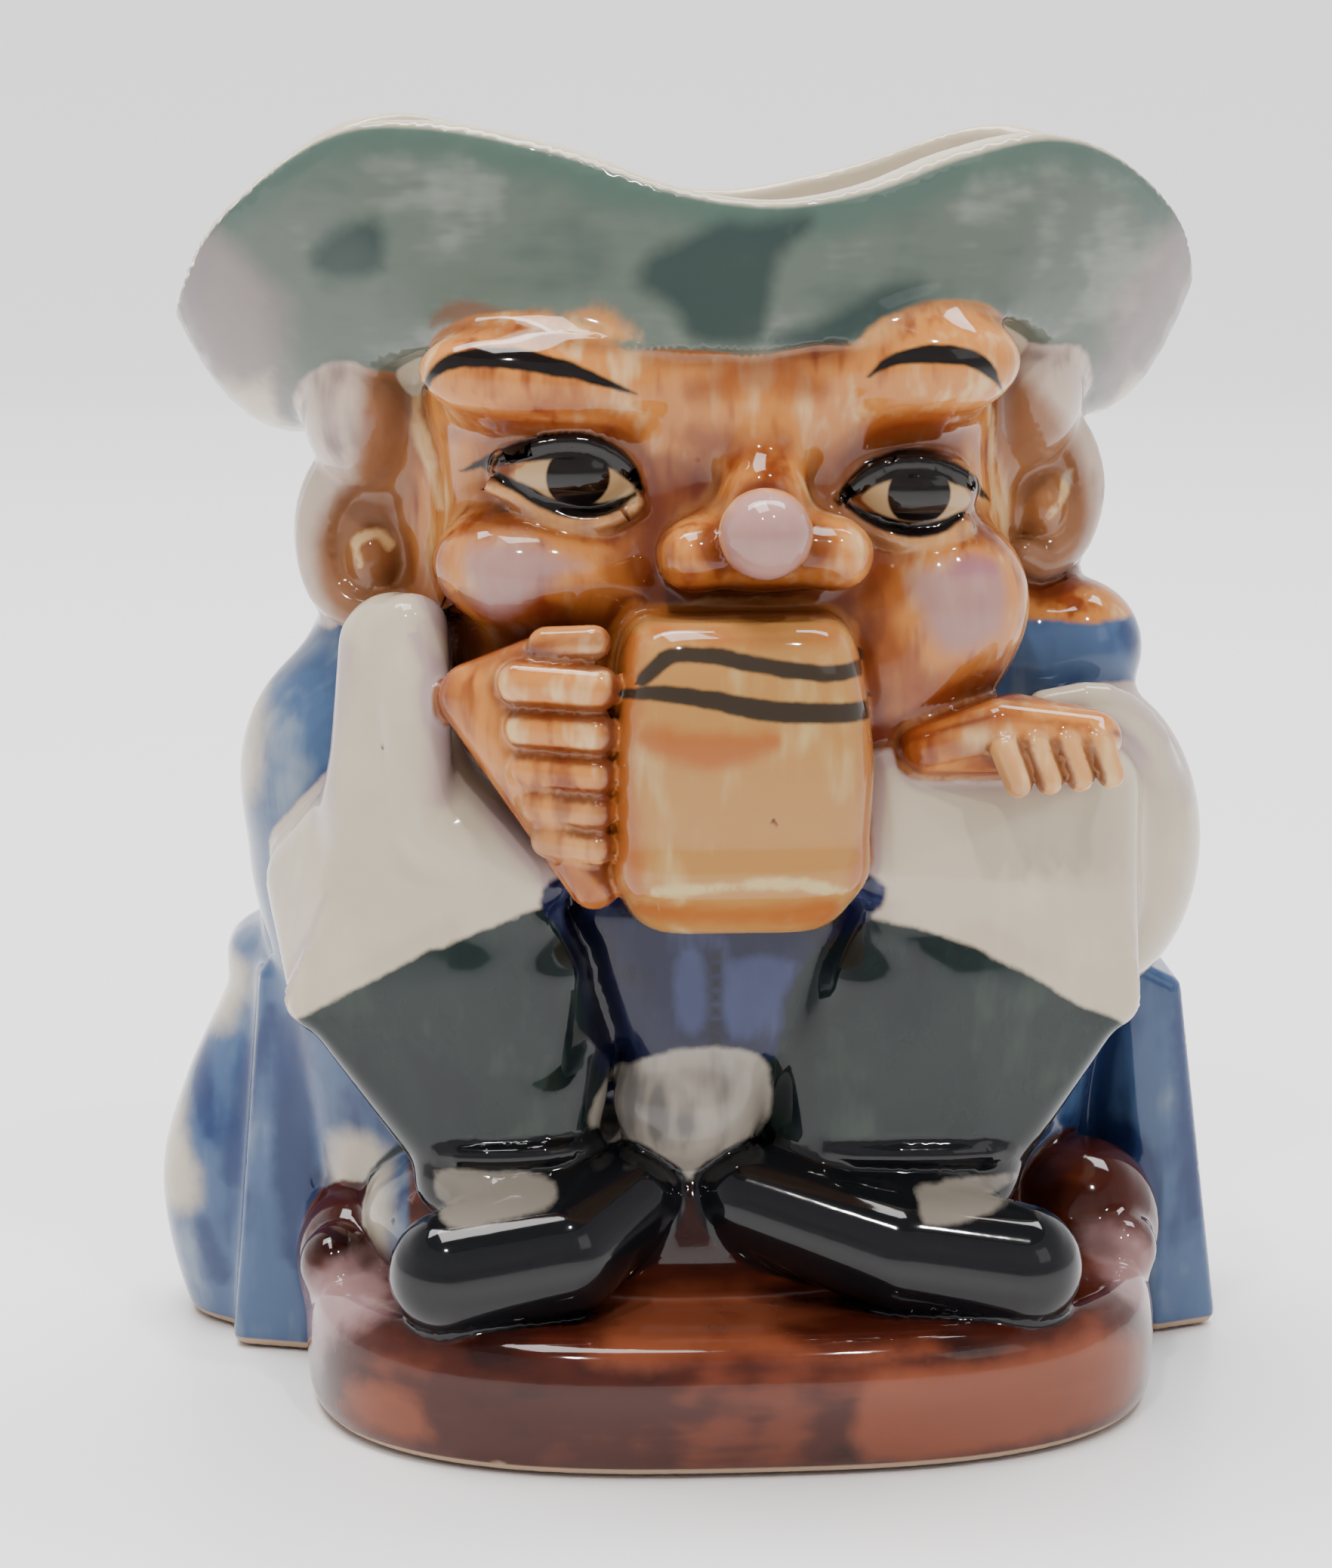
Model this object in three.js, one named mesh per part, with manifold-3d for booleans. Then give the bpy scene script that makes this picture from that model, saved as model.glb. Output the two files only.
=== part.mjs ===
// A glazed earthenware toby jug: a seated drinker on a low plinth, whose cocked hat is the mouth.
// Millimetres, +Z up. The figure faces -Y, and the jug stands on its underside at z = 0.
import * as THREE from 'three';
import { mergeVertices } from 'three/addons/utils/BufferGeometryUtils.js';
import { ConvexGeometry } from 'three/addons/geometries/ConvexGeometry.js';
import Module from 'manifold-3d';

// Driving sizes
const FIGURE_HEIGHT = 71.68; // from the top of the plinth to the highest humps of the hat
const PLINTH_HEIGHT = 8.32;
const PLINTH_WIDTH = 53.6;
const PLINTH_DEPTH = 41.6;
const PLINTH_EDGE = 1.4; // rounding of the plinth's top edge
const FOOT_CHAMFER = 0.6; // bare edge around the underside
const FOOT_RING = 4; // flat ring that the jug stands on
const FOOT_RECESS = 0.8; // depth of the hollow inside that ring
const WALL = 3; // cast wall around the body
const LIP = 2.5; // wall of the hat's brim
const LIP_EDGE = 0.5; // rounding of the brim's edge
const FLOOR = 4; // from the underside to the bottom of the hollow
const HANDLE_WIDTH = 7.2;
const HANDLE_THICKNESS = 5.2;
const FINGER_GAP = 10.5; // from the back of the coat to the inside of the handle

// The figure's forms are placed and sized in units of its own height. Heights count from the
// ground, and the figure starts at FEET, on top of the plinth.
const FEET = 10.4;
const TOP = 100;
const U = FIGURE_HEIGHT / (TOP - FEET);
const PLEATS_AROUND = 14;

const wasm = await Module();
wasm.setup();

// Height in millimetres. Below the figure's feet, heights are shares of the plinth.
function height(z) {
  return z < FEET ? (z / FEET) * PLINTH_HEIGHT : PLINTH_HEIGHT + (z - FEET) * U;
}

function place([x, y, z]) {
  return new THREE.Vector3(x * U, y * U, height(z));
}

// A closed geometry as a solid that can be joined and cut.
function solid(geometry) {
  const bare = new THREE.BufferGeometry();
  bare.setAttribute('position', geometry.getAttribute('position'));
  if (geometry.index) bare.setIndex(geometry.index);
  const merged = mergeVertices(bare, 1e-4);
  return new wasm.Manifold(new wasm.Mesh({
    numProp: 3,
    vertProperties: merged.attributes.position.array,
    triVerts: new Uint32Array(merged.index.array),
  }));
}

function join(solids) {
  return solids.reduce((all, one) => all.add(one));
}

// The solid with the pockets filled that are shut in where its forms cross.
function filled(shape) {
  return shape.decompose().reduce((most, one) => (one.volume() > most.volume() ? one : most));
}

// An ellipsoid, turned about X, Y and Z in degrees.
function ball(centre, radii, turn = [0, 0, 0], around = 10) {
  const geometry = new THREE.SphereGeometry(1, around, Math.round(around * 0.6));
  const euler = new THREE.Euler(...turn.map((angle) => THREE.MathUtils.degToRad(angle)));
  const size = new THREE.Vector3(...radii).multiplyScalar(U);
  const rotation = new THREE.Quaternion().setFromEuler(euler);
  geometry.applyMatrix4(new THREE.Matrix4().compose(place(centre), rotation, size));
  return solid(geometry);
}

// A roll with round ends, from [x, y, z, radius] to [x, y, z, radius].
function roll(from, to, around = 7) {
  const start = place(from);
  const along = place(to).sub(start);
  const steps = 2;
  const profile = [];
  for (let i = 0; i <= steps; i += 1) {
    const angle = (i / steps) * Math.PI / 2;
    profile.push(new THREE.Vector2(Math.sin(angle) * from[3] * U, -Math.cos(angle) * from[3] * U));
  }
  for (let i = 0; i <= steps; i += 1) {
    const angle = (i / steps) * Math.PI / 2;
    const y = along.length() + Math.sin(angle) * to[3] * U;
    profile.push(new THREE.Vector2(i === steps ? 0 : Math.cos(angle) * to[3] * U, y));
  }
  const geometry = new THREE.LatheGeometry(profile, around);
  const up = new THREE.Vector3(0, 1, 0);
  const rotation = new THREE.Quaternion().setFromUnitVectors(up, along.clone().normalize());
  geometry.applyMatrix4(new THREE.Matrix4().compose(start, rotation, new THREE.Vector3(1, 1, 1)));
  return solid(geometry);
}

// A round bar of one thickness on a smooth curve through places [x, y, z].
function bar(places, radius, steps, around = 6) {
  const section = new THREE.Shape();
  section.absarc(0, 0, radius * U, 0, Math.PI * 2);
  return solid(new THREE.ExtrudeGeometry(section, {
    steps,
    extrudePath: new THREE.CatmullRomCurve3(places.map(place)),
    curveSegments: around / 2,
  }));
}

// The tight skin around several balls, each [x, y, z, radius].
function skin(balls) {
  const points = [];
  for (const [x, y, z, radius] of balls) {
    const sphere = new THREE.IcosahedronGeometry(radius * U, radius > 3 ? 1 : 0);
    const position = sphere.getAttribute('position');
    const centre = place([x, y, z]);
    for (let i = 0; i < position.count; i += 1) {
      points.push(new THREE.Vector3().fromBufferAttribute(position, i).add(centre));
    }
  }
  return solid(new ConvexGeometry(points));
}

// A closed skin over rings of equal count, listed from the lowest up.
function loft(rings) {
  const count = rings[0].length;
  const points = rings.flat();
  const faces = [];
  for (let j = 0; j + 1 < rings.length; j += 1) {
    for (let i = 0; i < count; i += 1) {
      const a = j * count + i;
      const b = j * count + ((i + 1) % count);
      faces.push(a, b, a + count, b, b + count, a + count);
    }
  }
  const ends = [rings[0], rings[rings.length - 1]];
  ends.forEach((ring, end) => {
    const middle = new THREE.Vector3();
    ring.forEach((point) => middle.add(point));
    points.push(middle.divideScalar(count));
    const first = end * (rings.length - 1) * count;
    for (let i = 0; i < count; i += 1) {
      const pair = [first + i, first + ((i + 1) % count)];
      faces.push(points.length - 1, pair[1 - end], pair[end]);
    }
  });
  const geometry = new THREE.BufferGeometry().setFromPoints(points);
  geometry.setIndex(faces);
  return solid(geometry);
}

// A rounded-rectangle ring. Power 2 is an ellipse, and higher powers are squarer. Pleats are folds
// around the back half, as a share of the ring's size.
function oval(centre, halfWidth, halfDepth, power, count, pleats = 0) {
  const ring = [];
  for (let i = 0; i < count; i += 1) {
    const angle = (i / count) * Math.PI * 2;
    const c = Math.cos(angle);
    const s = Math.sin(angle);
    const behind = Math.max(0, Math.sin(angle + 0.15)) ** 0.5;
    const swell = 1 + pleats * behind * Math.cos(angle * PLEATS_AROUND);
    ring.push(new THREE.Vector3(
      centre.x + Math.sign(c) * Math.abs(c) ** (2 / power) * halfWidth * swell,
      centre.y + Math.sign(s) * Math.abs(s) ** (2 / power) * halfDepth * swell,
      centre.z,
    ));
  }
  return ring;
}

// Levels of a lofted form: [height, centre x, centre y, half width, half depth, power, pleats].
function levels(rows, count, inset = 0) {
  return rows.map(([z, x, y, halfWidth, halfDepth, power, pleats]) => oval(
    place([x, y, z]),
    halfWidth * U - inset,
    halfDepth * U - inset,
    power,
    count,
    pleats,
  ));
}

// Plinth
const PLINTH_MIDDLE = -10;

function plinth() {
  const rows = [
    [0, FOOT_CHAMFER],
    [FOOT_CHAMFER, 0],
    [PLINTH_HEIGHT - PLINTH_EDGE, PLINTH_EDGE * 0.25],
    [PLINTH_HEIGHT - PLINTH_EDGE * 0.3, PLINTH_EDGE * 0.65],
    [PLINTH_HEIGHT, PLINTH_EDGE * 1.3],
  ];
  return loft(rows.map(([z, inset]) => oval(
    new THREE.Vector3(0, PLINTH_MIDDLE * U, z),
    PLINTH_WIDTH / 2 - inset,
    PLINTH_DEPTH / 2 - inset,
    2.7,
    32,
  )));
}

// The hollow under the jug, inside the ring that it stands on.
function footRecess() {
  return loft([-FOOT_RECESS, FOOT_RECESS].map((z) => oval(
    new THREE.Vector3(0, PLINTH_MIDDLE * U, z),
    PLINTH_WIDTH / 2 - FOOT_RING,
    PLINTH_DEPTH / 2 - FOOT_RING,
    2.7,
    24,
  )));
}

function knobs() {
  return join([
    ball([29, -8, 11], [6.5, 7, 7]),
    ball([-29.5, -8, 9.5], [5, 6, 5.5], [0, 0, 0], 9),
    ball([31.3, -14, 10.6], [2.8, 3.4, 3], [0, 0, 0], 8),
    ball([-31.3, -14, 10.6], [2.8, 3.4, 3], [0, 0, 0], 8),
  ]);
}

// Body, head and hat
const TORSO = [
  [1, -1.5, 4, 30, 18, 2.4],
  [20, -2, 3, 33, 19, 2.4],
  [32, -2, 2, 34.5, 20, 2.4],
  [42, -2.5, 1, 35.6, 21, 2.3],
  [50, -2.5, 1, 34.6, 21, 2.3],
  [57, -2, 1, 31.5, 20, 2.3],
  [61.5, -1.5, 0, 29.8, 19.4, 2.3],
  [63, -1.5, -1, 27.6, 18.2, 2.3],
  [70, -1.5, -1, 27.5, 18.6, 2.3],
  [77, -2, -2, 27, 18, 2.3],
  [82, -2, -3, 23, 15, 2.3],
];

const FACE = [
  [52, -1, -10, 18.2, 14.3, 2.5],
  [55, -1, -10, 20, 16.2, 2.6],
  [60, -1, -9, 21, 17.6, 3],
  [66, -1, -8.5, 21.8, 17.6, 3.2],
  [74, -1.6, -8, 21.6, 17.4, 3.2],
  [79, -2, -8, 22, 18.6, 3.2],
  [85, -2.4, -8, 19.8, 18.2, 2.7],
];

// What swells from the face: middle, radii, and the width over which it runs into the rest.
const FEATURES = [
  [[-14.6, -23.6, 80.3], [9.4, 5.2, 4], 2.4],
  [[12.6, -23.4, 81.2], [7.8, 5.4, 4.4], 2.4],
  [[1, -23.4, 78.6], [6.4, 4.4, 5.4], 2],
  [[-13.2, -23.2, 73.7], [5.6, 4.3, 2.9], 1],
  [[12.3, -23.2, 72.3], [5.2, 4.3, 2.8], 1],
  [[-15, -22.6, 66], [8, 7, 4.9], 1.2],
  [[15.2, -21.8, 63], [6.2, 7.2, 7], 1.6],
  [[11.5, -20, 59], [8.2, 7.6, 7.2], 2],
  [[1.3, -24.8, 74], [2.9, 4, 5], 2],
  [[0.8, -27, 68.2], [7.2, 5.2, 3.6], 1.6],
  [[-4.4, -29.4, 67.8], [2.9, 3.4, 2.8], 0.9],
  [[6.2, -29.4, 67.9], [2.9, 3.4, 2.9], 0.9],
];

const FACE_COUNT = 40;
const FACE_RINGS = 19;
const FACE_REACH = 32; // from the middle of the face to well outside its features

// The hat's lip, anticlockwise from the right corner: right, back, left and front.
const LIP_POINTS = [
  [37.8, -2, 87],
  [34, 7, 94.5],
  [26.5, 13, 99.3],
  [13, 17.2, 95.8],
  [0, 18.6, 94],
  [-15.5, 17.8, 97.6],
  [-29, 13.5, TOP],
  [-38.5, 7, 93],
  [-43.2, -2, 85],
  [-38.2, -11.5, 92.6],
  [-31.5, -17, 98],
  [-24, -20.5, 99],
  [-14, -24, 97.1],
  [-5.5, -27, 94.3],
  [1.8, -28.4, 93.3],
  [9, -27, 94.4],
  [16, -24, 96.8],
  [23.5, -20, 98.2],
  [30, -15, 96.4],
  [34.8, -9, 92.4],
];

// Where the hat leaves the head, at the same places as the lip.
const CROWN_POINTS = [
  [28.5, -2, 76],
  [25, 8, 76.5],
  [18.5, 13.8, 77.5],
  [8, 17, 78],
  [-3, 17.8, 78],
  [-14, 17, 78],
  [-23, 13.8, 77.5],
  [-29.5, 7, 76],
  [-32.8, -2, 75],
  [-29.5, -12, 78.6],
  [-25.5, -17.5, 81.6],
  [-20.5, -22.5, 83],
  [-13, -26.2, 83.2],
  [-6, -27.7, 82.8],
  [0.5, -28.2, 82.6],
  [7, -27.7, 83.4],
  [13, -25.8, 84.6],
  [18.5, -22.4, 85],
  [23, -17, 83],
  [26.6, -10, 79],
];

const HAT_COUNT = 40;

// One ring of the hat. Share 0 is where it leaves the head, and share 1 is the lip.
function hatRing(share, inset) {
  const curves = [CROWN_POINTS, LIP_POINTS].map((points) => (
    new THREE.CatmullRomCurve3(points.map(place), true, 'centripetal')));
  const outwards = Math.abs(share) ** 0.55;
  const upwards = Math.abs(share) ** 1.35;
  const ring = [];
  const middle = place([-2, -5, 90]);
  for (let i = 0; i < HAT_COUNT; i += 1) {
    const [low, high] = curves.map((curve) => curve.getPoint(i / HAT_COUNT));
    const point = new THREE.Vector3(
      THREE.MathUtils.lerp(low.x, high.x, outwards),
      THREE.MathUtils.lerp(low.y, high.y, outwards),
      THREE.MathUtils.lerp(low.z, high.z, upwards),
    );
    const inwards = middle.clone().sub(point).setZ(0);
    const flat = new THREE.Vector3(inwards.x, inwards.y, 0).normalize().multiplyScalar(inset);
    ring.push(point.add(flat));
  }
  return ring;
}

function hat() {
  const foot = hatRing(0, 8 * U).map((point) => point.setZ(height(74)));
  const rings = [0, 0.1, 0.35, 0.7, 0.97].map((share) => hatRing(share, 0));
  return loft([foot, ...rings, hatRing(1, LIP_EDGE)]);
}

// The inside of the body and hat, open at the lip.
function hollow() {
  const inside = levels(TORSO.filter((row, i) => i % 2), HAT_COUNT, WALL);
  const bottom = oval(place([-1.5, 3, 0]), 29 * U - WALL, 16 * U - WALL, 2.4, HAT_COUNT);
  const brim = [0.3, 0.6, 1].map((share) => hatRing(share, LIP));
  const above = brim[2].map((point) => point.clone().setZ(point.z + WALL));
  return loft([bottom.map((point) => point.setZ(FLOOR)), ...inside, ...brim, above]);
}

function hairAndEars() {
  return join([
    ball([-28.3, -9, 77.4], [4.6, 7.4, 6.2], [0, 0, 0], 9),
    ball([23.3, -9, 79], [4.4, 7.4, 6.4], [0, 0, 0], 9),
    ball([-28.2, -4, 67.2], [5.7, 6.6, 8.2], [0, 0, 0], 9),
    ball([24.6, -4, 70.2], [5.4, 6.6, 8.4], [0, 0, 0], 9),
    bar([[-26.6, -11, 74], [-30.2, -9.6, 72.4], [-31.8, -9, 68], [-31, -9.4, 63.6], [-28, -11, 61.6],
      [-25.6, -12, 62.6]], 1.7, 8),
    bar([[23.2, -11, 77], [26.4, -9.6, 75.6], [28, -9, 71.4], [27, -9.4, 67.2], [24.6, -11, 65.4],
      [22.8, -12, 66]], 1.6, 8),
    ball([-27.4, -11, 65.8], [1.7, 1.8, 2], [0, 0, 0], 6),
    ball([24.4, -11, 69.6], [1.6, 1.8, 2.2], [0, 0, 0], 6),
  ]);
}

// Two distances as one, so that their forms run into each other over the given width.
function blended(a, b, width) {
  const overlap = Math.max(width - Math.abs(a - b), 0) / width;
  return Math.min(a, b) - overlap ** 2 * (width / 4);
}

// About how far a place lies outside an ellipsoid, and below zero inside it.
function outsideBall(where, centre, radii) {
  const local = where.map((value, k) => value - centre[k]);
  const scaled = Math.hypot(...local.map((value, k) => value / radii[k]));
  const steep = Math.hypot(...local.map((value, k) => value / radii[k] ** 2));
  return scaled * ((scaled - 1) / Math.max(steep, 1e-6));
}

// How far a place lies outside the face: its oval levels and the features that swell from them.
function outsideFace(where, level) {
  const [x, y, halfWidth, halfDepth, power] = level;
  const across = where[0] - x;
  const along = where[1] - y;
  const share = (Math.abs(across / halfWidth) ** power
    + Math.abs(along / halfDepth) ** power) ** (1 / power);
  return FEATURES.reduce(
    (gap, [centre, radii, width]) => blended(gap, outsideBall(where, centre, radii), width),
    Math.hypot(across, along) * (1 - 1 / Math.max(share, 1e-3)),
  );
}

// One level of the face, between the levels that are given for it.
function faceLevel(z) {
  const above = Math.max(1, FACE.findIndex((row) => row[0] >= z));
  const share = (z - FACE[above - 1][0]) / (FACE[above][0] - FACE[above - 1][0]);
  return FACE[above].slice(1).map((value, k) => (
    THREE.MathUtils.lerp(FACE[above - 1][k + 1], value, share)));
}

// A ring on the skin of the face, with its points closest together in the middle of the front.
function faceRing(z) {
  const level = faceLevel(z);
  const ring = [];
  for (let i = 0; i < FACE_COUNT; i += 1) {
    const side = (i / FACE_COUNT) * 2 - 1;
    const angle = Math.PI * (0.6 * side + 0.4 * side ** 3 - 0.5);
    const outwards = (reach) => [
      level[0] + Math.cos(angle) * reach,
      level[1] + Math.sin(angle) * reach,
      z,
    ];
    let reach = FACE_REACH;
    let gap = outsideFace(outwards(reach), level);
    while (Math.abs(gap) > 0.01) {
      reach -= gap * 0.6;
      gap = outsideFace(outwards(reach), level);
    }
    ring.push(place(outwards(reach)));
  }
  return ring;
}

function face() {
  const [bottom, top] = [FACE[0][0], FACE[FACE.length - 1][0]];
  const rings = [];
  for (let j = 0; j <= FACE_RINGS; j += 1) {
    rings.push(faceRing(THREE.MathUtils.lerp(bottom, top, j / FACE_RINGS)));
  }
  return join([
    loft(rings),
    ball([0.6, -33.5, 69.8], [3.4, 4, 3.3], [0, 0, 0], 9),
  ]);
}

// Mug and hands
function mug() {
  return loft(levels([
    [40.8, -1.2, -28.2, 6.4, 5.4, 4],
    [42.2, -1.1, -28.3, 7.9, 7.1, 4],
    [44.4, -1, -28.5, 9, 8.3, 4],
    [53.5, -0.8, -28.6, 9.5, 8.7, 4],
    [58, -0.9, -28.5, 9.1, 8.5, 4],
    [61.6, -1, -28.3, 8.3, 7.8, 4],
    [63.4, -1, -28, 6.8, 6.2, 4],
  ], 20));
}

function leftHand() {
  const fingers = [
    [59, 1.5, -17.3],
    [55.7, 1.2, -16.9],
    [52.6, 1.15, -16.9],
    [50, 1, -16],
    [47.4, 1, -15],
  ].map(([z, thick, x]) => roll([x, -31.4, z, thick], [-11.4, -33.4, z - 0.2, thick], 6));
  return join([
    skin([
      [-20.2, -27.2, 57.4, 2.6],
      [-15.6, -29.4, 60, 2.1],
      [-14.4, -30.2, 50, 2.2],
      [-11.6, -31, 44.2, 2],
      [-13, -28.5, 52, 3.2],
    ]),
    roll([-15, -31, 61.6, 1.4], [-11.7, -32.8, 62, 1.3], 6),
    ...fingers,
  ]);
}

function rightHand() {
  const fingers = [0, 1, 2, 3].map((i) => roll(
    [18.6 + i * 2.4, -30 + i * 0.35, 53.6 + i * 0.1, 1.15],
    [19.6 + i * 2.35, -30.6 + i * 0.4, 51 + i * 0.15, 1.05],
    6,
  ));
  return join([
    skin([[13.4, -26.4, 53.2, 2], [18.4, -28, 54.8, 2.2], [25.6, -27.4, 53.8, 2.2], [20, -25.4, 54, 3]]),
    ...fingers,
  ]);
}

// Sleeves, lap and legs
function sleeves() {
  return join([
    skin([
      [-25.6, -20.6, 49, 5],
      [-31.2, -12, 41, 5],
      [-32.6, -20.6, 33.2, 1.6],
      [-15.6, -26.6, 43.6, 2.6],
      [-20, -12, 44, 7],
    ]),
    roll([-26, -19, 60, 4.2], [-26, -20.6, 49, 5.2], 10),
    bar([[-24.8, -21.5, 61.6], [-24.4, -24.4, 55], [-24, -25.4, 48], [-21, -26.2, 45.6]], 2.4, 6),
    ball([-31, -4, 49], [7.2, 9, 9], [0, 0, 0], 9),
    skin([
      [12, -22.5, 49, 4.6],
      [25.5, -20, 48.6, 5.2],
      [26, -21.5, 42, 4.4],
      [28.8, -22.6, 32.8, 1.6],
      [9.8, -26.6, 44, 2.6],
      [16, -14, 42, 8],
    ]),
    bar([[23, -21, 55.4], [27.6, -21, 55.6], [31.4, -18, 52], [33, -15, 46.5]], 1.9, 6),
    ball([28.4, -11.5, 43.5], [8.8, 9.5, 12.6]),
    ball([24, -5, 57.4], [8.4, 10, 7.4], [0, 0, 0], 9),
    ball([27.6, -9, 58.4], [5.2, 6, 5.4], [0, 0, 0], 9),
  ]);
}

function legs() {
  return join([
    skin([
      [-31.8, -20.4, 33, 1.8],
      [-20, -22.6, 36.6, 5.2],
      [-16.6, -24.6, 40, 3],
      [-13.8, -21, 30, 4],
      [-20.4, -19.6, 22, 4.8],
      [-15.6, -19.8, 22, 4.8],
    ]),
    skin([
      [28, -22, 32.6, 1.8],
      [16, -23, 36, 5.4],
      [11, -24.8, 39.2, 3],
      [6.4, -21, 30, 4.4],
      [7.8, -20, 21.6, 5.4],
      [17.2, -19.6, 21.6, 5.4],
    ]),
    skin([
      [-9, -20.6, 40, 4.6],
      [4.4, -20.6, 40, 4.6],
      [-5, -20.5, 31, 4.6],
      [0, -20.5, 31, 4.6],
      [-3, -19, 24, 4],
    ]),
    ball([-4, -21.2, 25], [5.6, 4.4, 5.2], [0, 0, 0], 9),
    ball([-3, -12, 14], [26, 14, 10], [0, 0, 0], 9),
  ]);
}

function shoes() {
  return join([
    skin([[-21.6, -21.6, 19.6, 3.4], [-14.4, -22, 19.8, 3.6], [-17, -24, 17, 4]]),
    skin([[18, -21.6, 19, 3.6], [8.6, -22, 19.2, 3.6], [13, -24, 17, 4]]),
    skin([[-22.2, -28.2, 14, 4.8], [-14, -27.6, 15.2, 4.8], [-9, -23.2, 17.8, 4.3]]),
    skin([[20.6, -28.2, 13.6, 4.8], [12, -27.6, 14.8, 4.8], [0.8, -23.2, 17.8, 4.3]]),
  ]);
}

// Coat skirts and handle
function skirts() {
  return join([
    loft(levels([
      [0, -2.4, 10, 41.6, 13, 2.5, 0.02],
      [4, -2.4, 10, 42.8, 14, 2.5, 0.024],
      [13, -2.4, 10.4, 43.8, 14.6, 2.5, 0.022],
      [20, -2.2, 10, 42, 14.6, 2.4, 0.018],
      [28, -1.8, 9, 38.8, 15, 2.4, 0.01],
      [34, -1.8, 8, 36.4, 16, 2.4],
      [36, -1.6, 4, 32, 13, 2.3],
    ], 42)),
    skin([
      [-33.4, -4, 31, 1.2],
      [-36.2, -2, 31, 1.2],
      [-38.8, -1.4, 1.2, 1.2],
      [-33.6, -3, 1.2, 1.2],
      [-36, 10, 31, 1.5],
      [-38.4, 12, 1.5, 1.5],
      [-28, 8, 16, 3],
    ]),
    skin([
      [33.4, -4, 31, 1.2],
      [36.6, -4, 29.4, 1.2],
      [40.6, -1.4, 1.2, 1.2],
      [36.4, -3, 1.2, 1.2],
      [36.4, 10, 30, 1.5],
      [38.4, 12, 1.5, 1.5],
      [28, 8, 16, 3],
    ]),
  ]);
}

function handle() {
  const back = 22 * U;
  const reach = back + FINGER_GAP + HANDLE_THICKNESS / 2;
  const section = new THREE.Shape();
  section.absellipse(0, 0, HANDLE_THICKNESS / 2, HANDLE_WIDTH / 2, 0, Math.PI * 2);
  const route = new THREE.CatmullRomCurve3([
    [back - 5 * U, 74],
    [back + FINGER_GAP * 0.45, 75.5],
    [reach - 1.25 * U, 69],
    [reach, 55],
    [reach - 3 * U, 41],
    [back + 3.75 * U, 30],
    [back - 7.5 * U, 27],
  ].map(([y, z]) => new THREE.Vector3(-2 * U, y, height(z))));
  return solid(new THREE.ExtrudeGeometry(section, {
    steps: 16,
    extrudePath: route,
    curveSegments: 4,
  }));
}

// Everything that a form leaves below the surface that the jug stands on.
function underground() {
  const size = 4 * FIGURE_HEIGHT;
  const below = new THREE.BoxGeometry(size, size, size);
  below.translate(0, 0, -size / 2);
  return solid(below);
}

function jug() {
  const figure = join([
    plinth(),
    knobs(),
    loft(levels(TORSO, 28)),
    hat(),
    hairAndEars(),
    face(),
    mug(),
    leftHand(),
    rightHand(),
    sleeves(),
    legs(),
    shoes(),
    skirts(),
    handle(),
  ]);
  const standing = filled(figure).subtract(underground()).subtract(footRecess());
  return filled(standing.subtract(hollow()));
}

const shape = jug().getMesh();
const geometry = new THREE.BufferGeometry();
geometry.setAttribute('position', new THREE.BufferAttribute(shape.vertProperties, 3));
geometry.setIndex(new THREE.BufferAttribute(shape.triVerts, 1));
geometry.computeVertexNormals();
geometry.computeBoundingBox();
const box = geometry.boundingBox;
geometry.translate(-(box.min.x + box.max.x) / 2, -(box.min.y + box.max.y) / 2, -box.min.z);

const tobyJug = new THREE.Mesh(geometry, new THREE.MeshStandardMaterial({
  color: '#a9a49a',
  roughness: 0.12,
  metalness: 0,
}));
tobyJug.name = 'toby_jug';

const piece = new THREE.Group();
piece.add(tobyJug);
export default piece;
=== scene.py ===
"""The looks of a small glazed earthenware toby jug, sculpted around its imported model."""

import math
from functools import partial
from itertools import combinations

import bmesh
import bpy
import numpy as np
from mathutils import Euler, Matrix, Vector


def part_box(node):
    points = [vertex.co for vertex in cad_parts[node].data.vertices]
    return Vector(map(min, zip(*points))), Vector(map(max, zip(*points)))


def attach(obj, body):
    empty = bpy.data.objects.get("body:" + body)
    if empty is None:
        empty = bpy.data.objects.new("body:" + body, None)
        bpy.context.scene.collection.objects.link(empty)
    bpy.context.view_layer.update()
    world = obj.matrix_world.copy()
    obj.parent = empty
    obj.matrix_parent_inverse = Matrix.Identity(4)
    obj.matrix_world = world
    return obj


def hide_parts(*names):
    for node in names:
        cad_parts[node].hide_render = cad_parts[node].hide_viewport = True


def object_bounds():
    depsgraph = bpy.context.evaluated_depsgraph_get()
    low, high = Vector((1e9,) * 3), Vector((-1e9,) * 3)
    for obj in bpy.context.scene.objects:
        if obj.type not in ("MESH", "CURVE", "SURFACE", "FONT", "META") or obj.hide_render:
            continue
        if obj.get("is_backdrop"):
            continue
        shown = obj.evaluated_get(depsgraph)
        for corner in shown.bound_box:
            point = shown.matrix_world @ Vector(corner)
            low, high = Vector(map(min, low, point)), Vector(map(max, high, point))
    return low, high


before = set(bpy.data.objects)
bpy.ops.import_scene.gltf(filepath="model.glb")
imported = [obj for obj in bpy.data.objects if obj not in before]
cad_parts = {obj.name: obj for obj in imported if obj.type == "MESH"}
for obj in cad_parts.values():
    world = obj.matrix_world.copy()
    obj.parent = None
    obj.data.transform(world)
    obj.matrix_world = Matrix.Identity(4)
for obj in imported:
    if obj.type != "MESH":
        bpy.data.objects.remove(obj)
CAD_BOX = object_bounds()

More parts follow.
